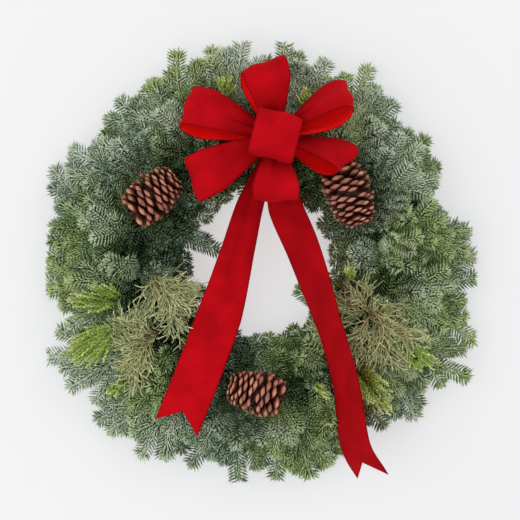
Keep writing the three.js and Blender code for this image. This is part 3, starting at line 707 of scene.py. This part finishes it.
def cutShort(path):
    # the stretch of a path before it would run into the bow or a cone, and nothing if that is too short
    for i, (start, end) in enumerate(zip(path[:-1] * mm, path[1:] * mm)):
        way = Vector(end - start)
        if obstacles.ray_cast(Vector(start), way.normalized(), way.length)[0] is not None:
            return path[:i + 1] if i > 2 else None
    return path


# Cedar sprays
# foot and rise in degrees, radius and height, tip in x, y and height; then the length of the fan, how many
# strands it has and how far it spreads
cedars = [
    {"foot": (196, 185), "rise": (195, 194, 60), "tip": (-284, -84, 62),
     "fan": 98, "strands": 19, "spread": 40, "end": 0.92, "bias": -26},
    {"foot": (199, 165), "rise": (203, 196, 82), "tip": (-276, -132, 80),
     "fan": 100, "strands": 18, "spread": 36, "bias": 4},
    {"foot": (218.5, 185), "rise": (217, 196, 60), "tip": (-214, -192, 60),
     "fan": 46, "strands": 5, "spread": 26},
    {"foot": (106, 185), "rise": (107, 190, 66), "tip": (-46, 268, 62),
     "fan": 44, "strands": 6, "spread": 40},
    {"foot": (61, 185.5), "rise": (68, 200, 44), "tip": (60, 248, 56),
     "fan": 44, "strands": 6, "spread": 40},
    {"foot": (308.5, 185), "rise": (312, 192, 68), "tip": (196, -222, 68),
     "fan": 98, "strands": 26, "spread": 42, "end": 0.91, "bias": -6, "lift": 15},
    {"foot": (331, 185), "rise": (331, 192, 70), "tip": (250, -140, 72),
     "fan": 60, "strands": 8, "spread": 40, "bias": -14},
    {"foot": (286, 185), "rise": (292, 172, 62), "tip": (102, -198, 66),
     "fan": 56, "strands": 9, "spread": 26, "lift": 8},
    {"foot": (353.5, 164.4), "rise": (340, 142, 56), "tip": (122, 4, 64),
     "fan": 36, "strands": 6, "spread": 30},
]
# where on its rib a fan ends, the degrees it is turned and how far it stands up, unless it says otherwise
usualFan = {"end": 1, "bias": 0, "lift": 0}
cedarShoot = {
    "half": 1.75,
    "flat": 0.75,
    "scale": 4.4,
    "footHeight": 7.3,
    "tuftEvery": 3.9,
    "tuft": 5.4,
    "clear": 2.2,  # how far the tufts keep from the bow and the cones
}


def scalyMaterial(name, low, middle, high, rough):
    # from the shoot's foot to its tip, spotted, some shoots deeper than others
    leaf = [(0.0, low), (0.45, middle), (0.7, middle), (1.0, high)]
    spots = [(0.35, (196, 196, 186)), (0.7, (255, 255, 255))]
    shift = [(0.0, (162, 178, 150)), (1.0, (255, 255, 240))]
    layers = [("along", leaf), ((160, 4), spots, 0.9), ("tone", shift, 0.9)]
    return surface(name, {"Roughness": rough, "Specular IOR Level": 0.35}, layers, ((700, 3), 0.4, 0.0005))


def sprigPath(sprig, count):
    # a sprig's rib, up from the ring and over to its tip, as its solid runs
    base = at(*sprig["foot"], cedarShoot["footHeight"])
    rise = sprig["rise"]
    tip = np.array(sprig["tip"], float)
    knee = at(rise[0], rise[1], rise[2] * 0.72)
    bend = at(*rise) * 0.88 + tip * 0.12
    bend[2] = rise[2] + 5
    return bezierPath([base, knee, bend, tip], count)


def scalyShoot(path, half, tone, flat, step, fromAlong=0.0, toAlong=1.0):
    # small overlapping scale leaves make the shoot swell and narrow along its length
    length = pathLength(path)
    rows = max(4, 2 * int(length / step) + 1)
    shares = np.linspace(0, 1, rows)
    swell = np.where(np.arange(rows) % 2 == 0, 0.72, 1.12)
    taper = np.interp(shares, [0, 0.2, 0.8, 1], [0.8, 1, 0.95, 0.45])
    part = tube(spotOn(path, shares), half * swell * taper, 4, tone, flat)
    part[2][:, 0] = fromAlong + (toAlong - fromAlong) * part[2][:, 0]
    return part


def cedarTufts(strand, tone, key):
    # short blunt twiglets on both sides of a strand, close to it, paler towards its end
    made = []
    count = int(0.86 * pathLength(strand) / cedarShoot["tuftEvery"])
    for j in range(count):
        spot = 0.14 + 0.86 * (j + 0.5 * chance(j, key)) / count
        root = spotOn(strand, spot)
        run = headingOn(strand, spot)
        beside = unit(np.cross(run, upward)) * handOf(j)
        size = cedarShoot["tuft"] * (0.7 + 0.6 * chance(j + 7, key)) * (1.15 - 0.5 * spot)
        lift = 0.5 * (chance(j + 3, key) - 0.3)
        way = unit(run + beside * (0.26 + 0.26 * chance(j, key + 3)) + upward * lift)
        twig = np.array([root, root + way * size * 0.6, root + unit(way + run * 0.4) * size])
        if obstacles.find_nearest(Vector(twig[2] * mm))[3] < cedarShoot["clear"] * mm:
            continue
        part = tube(twig, [0.8, 1.5, 0.8], 4, tone)
        pale = 0.7 if chance(j + 11, key) > 0.68 else 0
        part[2][:, 0] = 0.1 + 0.66 * spot ** 1.4 + (0.24 + pale) * part[2][:, 0]
        made.append(part)
    return made


def cedarFrond(number, sprig):
    # a bare rib from the ring and a flat fan of leafy strands at its end
    rib = sprigPath(sprig, 60)
    total = pathLength(rib)
    fan, count = sprig["fan"], sprig["strands"]
    begin = sprig["end"] - fan / total
    parts = [woodOn(spotOn(rib, np.linspace(0, begin + 0.12, 18)), 1.6, 1.1, 6)]
    main = spotOn(rib, np.linspace(begin, sprig["end"], 40))
    strands = [(main, 0.5)]
    for i in range(count):
        # long strands, of which the outer ones leave the rib first, each with a fork
        side = 2 * (i + 0.5) / count - 1
        share = 0.02 + 0.22 * (1 - abs(side)) + 0.1 * chance(i, number)
        start = spotOn(main, share)
        ahead = headingOn(main, share)
        swing = sprig["spread"] * side + sprig["bias"] + sway(8, i, number + 40)
        going = turned(ahead, upward, swing)
        reach = fan * (1 - share) * (0.74 + 0.3 * chance(i, number + 60)) * (1 - 0.2 * abs(side))
        sag = upward * (14 * (chance(i, number + 20) - 0.15) + sprig["lift"])
        end = start + unit(going + turned(ahead, upward, sprig["bias"]) * 0.5) * reach + sag * 0.8
        strand = cutShort(bezierPath([start, start + going * reach * 0.5 + sag, end], 16))
        if strand is None:
            continue
        tone = chance(i + 5, number)
        strands.append((strand, tone))
        fork = spotOn(strand, 0.34 + 0.2 * chance(i, number + 80))
        turn = handOf(i) * (10 + 8 * chance(i, number + 90))
        way = turned(headingOn(strand, 0.5), upward, turn)
        bend = fork + way * reach * 0.28 + [0, 0, 2]
        other = cutShort(bezierPath([fork, bend, fork + way * reach * 0.52], 12))
        if other is not None:
            strands.append((other, 1 - tone))
    half, flat, scale = cedarShoot["half"], cedarShoot["flat"], cedarShoot["scale"]
    for k, (strand, tone) in enumerate(strands):
        parts.append(scalyShoot(strand, half, tone, flat, scale, toAlong=0.95))
        parts += cedarTufts(strand, tone, number * 50 + k)
    return parts


cedarGreen = scalyMaterial("cedarScales", (136, 166, 88), (188, 216, 98), (255, 254, 200), 0.5)
greenBark = barkMaterial("cedarBark", (120, 104, 60), (76, 60, 36))
for number, sprig in enumerate(cedars, 1):
    frond = cedarFrond(number, {**usualFan, **sprig})
    makePiece(f"cedar_{number}_spray", frond, [cedarGreen, greenBark], f"cedar_{number}")
print("cedar sprays:", len(cedars))


# Juniper sprays
# foot, rise and tip as for the cedar; more holds single branches: where on the stem, degrees off it, reach
junipers = [
    {"foot": (173.5, 165), "rise": (184, 160, 74), "tip": (-112, -62, 78), "seed": 1,
     "branches": 7, "from": 0.42, "to": 0.9, "bias": 0, "spread": 40, "reach": 34, "lift": 0},
    {"foot": (218.5, 165), "rise": (212, 170, 80), "tip": (-196, -160, 78), "seed": 2,
     "branches": 8, "from": 0.26, "to": 0.62, "bias": -18, "spread": 52, "reach": 40, "lift": 4},
    {"foot": (331, 165), "rise": (335, 165, 82), "tip": (196, -60, 84), "seed": 3,
     "branches": 10, "from": 0.22, "to": 0.6, "bias": -106, "spread": 44, "reach": 66, "lift": -4,
     "more": [(0.42, 122, 44), (0.48, 92, 36), (0.38, 150, 38)]},
    {"foot": (308.5, 165), "rise": (316, 152, 58), "tip": (80, -104, 58), "seed": 4,
     "branches": 5, "from": 0.4, "to": 0.8, "bias": -16, "spread": 30, "reach": 18, "lift": 5,
     "cords": 0.6},
]
usualBranches = {"cords": 1, "more": []}
juniperCord = {"stem": 1.9, "cord": 1.05, "scale": 6.0, "twigs": 14, "ends": 3}


def cordFrom(start, ahead, reach, wander, seed):
    # a thin cord that wanders off its heading
    side = unit(np.cross(ahead, [0.1, 0.1, 1.0]))
    bend = start + ahead * reach * 0.5 + side * wander * (chance(seed, 1) - 0.5) * reach
    bend[2] += reach * 0.16 * (chance(seed, 2) - 0.2)
    end = start + ahead * reach + side * wander * (chance(seed, 3) - 0.5) * reach
    end[2] += sway(reach * 0.3, seed, 4)
    return bezierPath([start, bend, end], 10)


def juniperBranches(sprig, stem):
    # the stem's own end and the branches that leave it
    seed, count = sprig["seed"], sprig["branches"]
    branches = [spotOn(stem, np.linspace(sprig["from"], sprig["to"] * 0.5 + 0.5, 14))]
    runs = []
    for i in range(count):
        swing = sprig["bias"] + handOf(i) * sprig["spread"] * (0.3 + 0.7 * chance(i, seed))
        share = sprig["from"] + (sprig["to"] - sprig["from"]) * i / count
        runs.append((share, swing, sprig["reach"] * (0.8 + 0.4 * chance(seed, i))))
    for i, (share, swing, reach) in enumerate(runs + sprig["more"]):
        start = spotOn(stem, share)
        ahead = unit(turned(headingOn(stem, share) * [1, 1, 0.2], upward, swing))
        bend = start + ahead * reach * 0.5 + [0, 0, 4 * chance(i, 9)]
        end = start + ahead * reach + [0, 0, 8 * chance(i + 3, seed) - 6 + sprig["lift"]]
        branches.append(bezierPath([start, bend, end], 12))
    return branches


def juniperSpray(sprig):
    # stem, branches, cords along each branch and finer ones along each cord
    stem = sprigPath(sprig, 40)
    seed = sprig["seed"]
    cord, scale = juniperCord["cord"], juniperCord["scale"]
    parts = [woodOn(spotOn(stem, np.linspace(0, 1, 24)), juniperCord["stem"], 0.9, 6)]
    for i, branch in enumerate(juniperBranches(sprig, stem)):
        parts.append(woodOn(branch, 1.3, 0.8, 5))
        for j in range(juniperCord["twigs"]):
            key = seed * 100 + i * 17 + j
            share = 0.08 + 0.92 * (j + 0.5) / juniperCord["twigs"]
            swing = handOf(j) * (10 + 30 * chance(key, 5))
            ahead = turned(headingOn(branch, share), upward, swing)
            ahead = unit(ahead * [1, 1, 0.6] + [0, 0, 0.7 * (chance(key, 6) - 0.4)])
            reach = (20 + 20 * chance(key, 7)) * sprig["cords"]
            path = cutShort(cordFrom(spotOn(branch, share), ahead, reach, 0.5, key))
            if path is None:
                continue
            tone = chance(key, 8)
            parts.append(scalyShoot(path, cord, tone, 0.9, scale, fromAlong=0.15, toAlong=0.8))
            for k in range(juniperCord["ends"]):
                tail = key * 7 + k
                spot = 0.2 + 0.76 * (k + 0.5) / juniperCord["ends"]
                swing = handOf(k) * (20 + 28 * chance(tail, 9))
                run = turned(headingOn(path, spot), upward, swing)
                run = unit(run + [0, 0, 0.7 * (chance(tail, 10) - 0.4)])
                small = cutShort(cordFrom(spotOn(path, spot), run, 10 + 11 * chance(tail, 11), 0.6, tail))
                if small is not None:
                    parts.append(scalyShoot(small, cord * 0.85, tone, 0.9, scale, fromAlong=0.45))
    return parts


oliveGreen = scalyMaterial("juniperScales", (206, 180, 142), (228, 226, 176), (248, 250, 214), 0.6)
brownBark = barkMaterial("juniperBark", (170, 124, 92), (112, 78, 58))
for number, sprig in enumerate(junipers, 1):
    spray = juniperSpray({**usualBranches, **sprig})
    makePiece(f"juniper_{number}_spray", spray, [oliveGreen, brownBark], f"juniper_{number}")
print("juniper sprays:", len(junipers))


# Fir bunches
fir = {
    "bunches": 16,
    "first": 6.25,  # degrees of the first bunch's middle
    "stemRadius": 175.0,
    # needle lengths by the kind of twig, and the degrees that their rows stand off its sides
    "needle": {"outer": 16.5, "middle": 15.0, "crest": 14.5, "inner": 14.5, "back": 14.0, "cover": 13.5,
               "hole": 14.5},
    "combs": (-14, 12, 38, 62, 84),
    "needleWidth": 1.75,
    "needleThick": 0.7,
    "perMm": 2.3,  # needles along a twig
    "rosette": 26,  # and at its very end
    "tipRoom": 3,  # how far inside the rim a twig ends
    "notch": 0.036,  # how deeply the rim falls back beside a tip
    "lowest": 7.0,  # height under which no twig runs
    "boxRoom": 0.8,  # how far inside the solids' box the needles end
    "sideShoots": {"outer": 4, "middle": 3, "crest": 3, "inner": 3, "back": 3, "hole": 0},
    # the bunch's own twigs inside the rim: kind, where each leaves the stem, bend, tip, the room that its
    # degrees, radius and height have, the seed, and the height that has to be free over its tip
    "inside": [
        ("crest", 0.7, (1, 170, 92), (2, 216, 90), (6, 14, 8), 21, 80),
        ("inner", 0.62, (0, 156, 62), (1, 122, 58), (5, 8, 10), 31, 52),
        ("back", 0.52, (-1, 148, 24), (-3, 98, 26), (6, 10, 8), 41, 0),
    ],
    # shorter twigs between the others: where each leaves the stem, its bend and its tip, and its kind
    "between": [
        (0.85, (-4, 200, 46), (-6, 268, 40), "middle"), (0.85, (6, 200, 48), (9, 262, 44), "middle"),
        (0.8, (1, 202, 70), (2, 246, 66), "middle"), (0.6, (-5, 180, 78), (-8, 210, 76), "crest"),
        (0.5, (-5, 160, 52), (-8, 130, 48), "inner"),
    ],
    # low twigs that close the bunch over the ring: degrees off its middle and radius of bend and tip, height
    "cover": [
        ((-8, 158), (-8, 120), 28), ((-1, 156), (0, 114), 32), ((6, 158), (7, 120), 28),
        ((-8, 196), (-8, 238), 26), ((7, 196), (7, 240), 28), ((-2, 200), (-1, 254), 30),
        ((-4, 162), (10, 152), 26), ((-4, 176), (11, 176), 26), ((-4, 190), (11, 200), 24),
        ((-5, 206), (9, 218), 22), ((-5, 224), (8, 236), 18), ((-3, 168), (12, 164), 18),
        ((-3, 150), (8, 140), 22), ((-6, 170), (-12, 156), 22), ((-6, 184), (-12, 210), 20),
        ((-3, 183), (11, 186), 34),
    ],
    # how much paler or darker the needles are round the wreath: degrees, then the shift
    "sideTone": ([0, 45, 120, 165, 200, 270, 310, 360], [0.05, 0.03, 0.04, -0.07, -0.07, -0.1, -0.04, 0.05]),
    # the outermost tips, as the solids' twigs have them, and more of them: degrees and radius
    "outerTips": [
        (2, 305), (9, 296), (17, 262), (28, 262), (37, 294), (50, 294), (61, 318), (72, 299), (84, 318),
        (95, 314), (103, 312), (112, 321), (121, 300), (131, 305), (140, 290), (149, 312), (160, 317),
        (170, 300), (181, 304), (192, 288), (204, 332), (213, 322), (224, 323), (238, 321), (251, 303),
        (264, 314), (274, 306), (283, 310), (293, 290), (307, 288), (318, 304), (331, 334), (340, 325),
        (349, 290),
    ],
    "moreTips": [
        (29, 286), (136, 298), (156, 324), (174, 302), (185, 308), (228, 322), (243, 308), (287, 302),
        (315, 310), (356, 306),
    ],
    "openSide": 325,  # degrees of the side of the hole where the needles are painted paler, with less painted shade
    # twigs that reach into the hole
    "holeTips": [(163, 66), (158, 82), (206, 92), (324, 66)],
    "ownHalf": 11.25,  # half a bunch's share of the ring, in degrees
}
# where something lies on the foliage and presses it down: x, y, radius, height left under it
pressedSpots = [
    (*bow["neck"][:2], 118, 50), (-15, 81, 30, 50), (-40, -10, 40, 54), (-57, -71, 40, 64),
    (-85, -147, 40, 70), (-110, -205, 40, 66), (33, 81, 30, 50), (59, 18, 40, 52), (93, -80, 38, 56),
    (117, -171, 38, 60), (140, -265, 40, 50), *[(*cone["at"][:2], 38, 34) for cone in cones.values()],
    (-225, -90, 60, 50), (-205, -140, 44, 52), (-150, -60, 50, 56), (185, -110, 60, 52), (165, -185, 46, 50),
    (110, -150, 34, 52), (-43, 240, 26, 40), (50, 235, 24, 38), (120, -40, 34, 50),
]
pressedSlope = 1.1
openHeight = 200.0


def ceilingAt(point):
    # how high the foliage may stand at a point
    heights = [openHeight]
    for x, y, radius, under in pressedSpots:
        heights.append(under + pressedSlope * max(0, math.hypot(point[0] - x, point[1] - y) - radius))
    return min(heights)


def middleOf(bunch):
    return fir["first"] + bunch * 360 / fir["bunches"]


def aside(degrees, turn):
    # how far one direction lies from another, from -180 to 180 degrees
    return (degrees - turn + 540) % 360 - 180


def stemPath(middle):
    # a bunch's stem in its clamp, as its solid runs
    radius = fir["stemRadius"]
    return bezierPath([at(middle - 10.5, radius, 7), at(middle - 4.5, radius, 7), at(middle + 2, radius, 8.6),
                       at(middle + 7.5, radius + 1, 20)], 24)


def twigsOf(bunch):
    # the same twigs as the bunch's solid: where each leaves the stem, its bend, its tip and its kind
    middle = middleOf(bunch)
    radius = fir["stemRadius"]
    twigs = []

    def add(along, bend, tip, kind, headroom):
        if ceilingAt(at(*tip)) > headroom:
            twigs.append((along, bend, tip, kind))

    for i, (degrees, reach) in enumerate(fir["outerTips"]):
        offset = aside(degrees, middle + 3)
        if abs(offset) > fir["ownHalf"]:
            continue
        end = reach - 5
        height = 20 + 16 * (i % 2) + 6 * chance(i, 1)
        bend = (middle + 5 + offset * 0.3, radius + (end - radius) * 0.4, height + 8)
        add(0.92, bend, (degrees, end, height), "outer", 0)
    for side in ((1,) if len(twigs) > 2 else (-1, 1)):
        degrees = middle + 3 + side * 5.5 + sway(4, bunch, side + 4)
        reach = 252 + 22 * chance(bunch, side + 7)
        height = 52 + 12 * chance(bunch, side + 11)
        add(0.8, (middle + 4 + side * 2, 196, height + 8), (degrees, reach, height), "middle", 0)
    for kind, along, bend, tip, room, seed, headroom in fir["inside"]:
        degrees = middle + tip[0] + sway(room[0], bunch, seed)
        reach = tip[1] + room[1] * chance(bunch, seed + 1)
        height = tip[2] + room[2] * chance(bunch, seed + 2)
        add(along, (middle + bend[0], *bend[1:]), (degrees, reach, height), kind, headroom)
    return twigs


def moreTwigsOf(bunch):
    # what the solid doesn't have: the twigs between, more tips at the rim and those into the hole
    middle = middleOf(bunch)
    twigs = []
    for along, bend, tip, kind in fir["between"]:
        turn = middle + sway(3, bunch, tip[1])
        reach = tip[1] + sway(16, bunch, tip[1] + 1)
        twigs.append((along, (turn + bend[0], *bend[1:]), (turn + tip[0], reach, tip[2]), kind))
    for turn, reach in fir["moreTips"]:
        if abs(aside(turn, middle + 3)) < fir["ownHalf"]:
            twigs.append((0.9, (middle + 4, 220, 30), (turn, reach - 5, 24), "outer"))
    for turn, reach in fir["holeTips"]:
        if abs(aside(turn, middle)) < fir["ownHalf"]:
            twigs.append((0.5, (turn, 132, 44), (turn, reach, 40), "hole"))
    return twigs


def rimAt(point):
    # how far out the foliage may reach: the furthest tips, with notches between them
    degrees = math.degrees(math.atan2(point[1], point[0]))
    radius = math.hypot(point[0], point[1])
    best = 0
    for turn, reach in fir["outerTips"] + fir["moreTips"]:
        away = math.radians(aside(degrees, turn)) * radius
        best = max(best, reach - fir["notch"] * away * away)
    return best


def pressed(path):
    # keeps a path under whatever lies on the foliage and off the table, and ends it at the rim
    kept = []
    for point in path:
        if len(kept) > 4 and math.hypot(point[0], point[1]) > rimAt(point) - fir["tipRoom"]:
            break
        kept.append([point[0], point[1], max(fir["lowest"], min(point[2], ceilingAt(point)))])
    return np.array(kept)


def coverTwigs(bunch, stem):
    # low twigs of the bunch that hide the ring and the stems
    middle = middleOf(bunch)
    made = []
    for i, (bend, tip, height) in enumerate(fir["cover"]):
        key = bunch * 9 + i
        start = spotOn(stem, min(0.9, max(0.05, 0.5 + bend[0] / 18)))
        turn = middle + sway(3, key, 61)
        rise = height + 6 * chance(key, 62)
        reach = tip[1] + sway(8, key, 63)
        knee, end = at(turn + bend[0], bend[1], rise), at(turn + tip[0], reach, rise)
        made.append(pressed(bezierPath([start, knee, end], 16)))
    return made


def sideTwigs(path, kind, seed):
    # shoots that leave a twig on both sides, shorter towards its tip
    length = pathLength(path)
    count = fir["sideShoots"][kind]
    made = []
    for i in range(count):
        share = 0.28 + 0.44 * (i + 0.5 * chance(seed, i)) / count
        start = spotOn(path, share)
        ahead = headingOn(path, share)
        turn = handOf(i + seed) * (40 + 14 * chance(seed, i + 30))
        way = unit(turned(ahead, upward, turn))
        reach = min(58, length * (0.62 - 0.34 * share)) * (0.85 + 0.3 * chance(seed, i + 60))
        bend = start + way * reach * 0.5 + [0, 0, 4]
        end = start + unit(way + ahead * 0.4) * reach + [0, 0, 10 * chance(seed, i + 90) - 6]
        made.append(bezierPath([start, bend, end], 10))
    return made


def needlesOn(path, seed, kind, first, tint, wide=1.0):
    # roots, headings and sizes of the needles along one twig: combed in rows to both sides and over its top,
    # with a blunt rosette at its end
    rng = np.random.default_rng(seed)
    length = pathLength(path) * (1 - first)
    ends = fir["rosette"]
    count = max(8, int(length * fir["perMm"])) + ends
    order = np.arange(count)
    share = first + (1 - first) * (order + 0.3 * rng.random(count)) / (count - ends)
    share[-ends:] = 1 - 0.05 * rng.random(ends)
    share = np.minimum(share, 1)
    root = spotOn(path, share)
    tangent = headingOn(path, share)
    side = unit(np.cross(tangent, [0.02, 0.01, 1.0]))
    over = np.cross(side, tangent)
    hand = np.where(order % 2 == 0, 1.0, -1.0)
    combs = np.array(fir["combs"])
    steep = np.radians(combs[(order // 2 * 2) % len(combs)] + 12 * (rng.random(count) - 0.5))
    steep[-ends:] = np.radians(-30 + 120 * rng.random(ends))
    out = unit(side * (hand * np.cos(steep))[:, None] + over * np.sin(steep)[:, None])
    forward = 0.3 + 0.12 * rng.random(count) + 0.45 * np.clip(np.sin(steep), 0, 1) ** 2
    forward[-ends:] = np.tan(np.radians(12 + 66 * rng.random(ends)))
    heading = unit(out + tangent * forward[:, None])
    size = fir["needle"][kind] * (0.92 + 0.14 * rng.random(count))
    size[-ends:] *= 0.78
    size = size * np.interp(share, [first, first + 0.1, 1], [0.75, 1, 1])
    sweep = tangent * 0.13 + np.array([0, 0, 0.12])
    sweep[-ends:] *= 0.3
    # painted shade, darker low in the wreath and towards its hole, and painted light, paler on the hole's
    # open side
    radius, height = np.hypot(root[:, 0], root[:, 1]), root[:, 2]
    deep = np.clip((height - 15) / 60 + (radius - 225) / 120, 0, 1) - 0.5
    deep = np.where(height < 15, -0.55, deep)
    tone = tint + 0.42 * (rng.random(count) - 0.5) + 0.34 * (np.sin(steep) - 0.4) + 0.5 * deep
    around = np.cos(np.arctan2(root[:, 1], root[:, 0]) - math.radians(fir["openSide"]))
    openly = np.clip((210 - radius) / 50, 0, 1) * np.clip(1.6 * around, 0, 1)
    tone = tone + 0.3 * openly * (height > 15)
    return root, heading, sweep, size, np.clip(tone, 0, 1), np.full(count, wide * fir["needleWidth"] / 2)


def needleBodies(root, heading, sweep, size, tone, half):
    # each needle: a point in the bark, two raised corners near its blunt end and a tip
    middle = 0.68
    side = unit(np.cross(heading, [0.03, 0.02, 1.0]))
    over = np.cross(side, unit(heading + sweep * (2 * middle)))
    place = root + heading * (size * middle)[:, None] + sweep * (size * middle * middle)[:, None]
    place = place + over * fir["needleThick"]
    points = np.zeros((len(root), 4, 3))
    points[:, 0] = root - heading * (size * 0.04)[:, None]
    points[:, 1] = place + side * half[:, None]
    points[:, 2] = place - side * half[:, None]
    points[:, 3] = root + (heading + sweep) * size[:, None]
    one = np.array([(0, 1, 2), (3, 2, 1), (0, 2, 3), (0, 3, 1)])
    faces = (one[None] + 4 * np.arange(len(root))[:, None, None]).reshape(-1, 3)
    along = np.tile([0, middle, middle, 1.0], len(root))
    return points.reshape(-1, 3), faces, np.stack([along, np.repeat(tone, 4)], -1), 0


def clearOf(root, heading, sweep, size):
    # shortens each needle that would run into the bow or a cone, and drops those left too short and those
    # that would reach out of the solids' box
    tips = root + (heading + sweep) * size[:, None]
    keep = np.ones(len(root), bool)
    for i, (start, end) in enumerate(zip(root * mm, tips * mm)):
        way = Vector(end - start)
        hit = obstacles.ray_cast(Vector(start), way.normalized(), way.length)
        if hit[0] is None:
            continue
        size[i] = 0.8 * hit[3] / mm
        keep[i] = size[i] > 0.4 * fir["needle"]["cover"]
    lowest = np.array(cadBox[0]) / mm + fir["boxRoom"]
    highest = np.array(cadBox[1]) / mm - fir["boxRoom"]
    return keep & np.all(tips > lowest, axis=1) & np.all(tips < highest, axis=1)


def makeBunch(bunch, materials):
    middle = middleOf(bunch)
    stem = stemPath(middle)
    parts = [woodOn(stem, 4, 3, 8)]
    fields = []
    # needles paler or darker by the side of the wreath that the bunch lies on
    sideTone = float(np.interp(middle, *fir["sideTone"]))
    for i, (along, bend, tip, kind) in enumerate(twigsOf(bunch) + moreTwigsOf(bunch)):
        start = spotOn(stem, along)
        path = pressed(bezierPath([start, at(*bend), at(*tip)], 24))
        parts.append(woodOn(path, 1.9, 0.9, 5))
        tint = 0.3 + sideTone + 0.42 * chance(bunch, i + 50)
        fields.append(needlesOn(path, bunch * 100 + i, kind, 0.2, tint))
        for j, shoot in enumerate(sideTwigs(path, kind, bunch * 10 + i)):
            shoot = pressed(shoot)
            parts.append(woodOn(shoot, 1.3, 0.7, 4))
            shade = tint + sway(0.2, j, i)
            fields.append(needlesOn(shoot, bunch * 1000 + i * 20 + j, kind, 0.12, shade))
    for i, path in enumerate(coverTwigs(bunch, stem)):
        parts.append(woodOn(path, 1.6, 0.8, 4))
        # cover twigs get a lower tint: painted shade under the bunch's other twigs
        tint = 0.2 + sideTone + 0.2 * chance(bunch, i + 70)
        fields.append(needlesOn(path, bunch * 77 + i + 5, "cover", 0.1, tint, 1.5))
    field = [np.concatenate(column) for column in zip(*fields)]
    keep = clearOf(*field[:4])
    parts.append(needleBodies(*[column[keep] for column in field]))
    name = f"fir_bunch_{bunch + 1:02d}"
    makePiece(f"{name}_foliage", parts, materials, name)
    return int(keep.sum())


firMaterials = [needleMaterial(), barkMaterial("firBark", (112, 112, 74), (72, 74, 48))]
needleCount = sum(makeBunch(bunch, firMaterials) for bunch in range(fir["bunches"]))
print("fir bunches:", fir["bunches"], "with", needleCount, "needles")


# Wires and ring
paint = [((300, 4), [(0.3, (34, 52, 36)), (0.7, (58, 78, 56))])]
enamel = surface("greenWire", {"Roughness": 0.45, "Metallic": 0.2}, paint, ((900, 3), 0.2, 0.0003))
for name in ("wire_ring", "bow_tie_wire", "cone_wire_left", "cone_wire_right", "cone_wire_bottom"):
    node = frame["nodes"][name]
    node.data.materials.clear()
    node.data.materials.append(enamel)
print("wires painted")

faces = sum(len(o.data.polygons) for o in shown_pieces() if o.type == "MESH" and "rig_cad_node" not in o)
print("faces added:", faces)
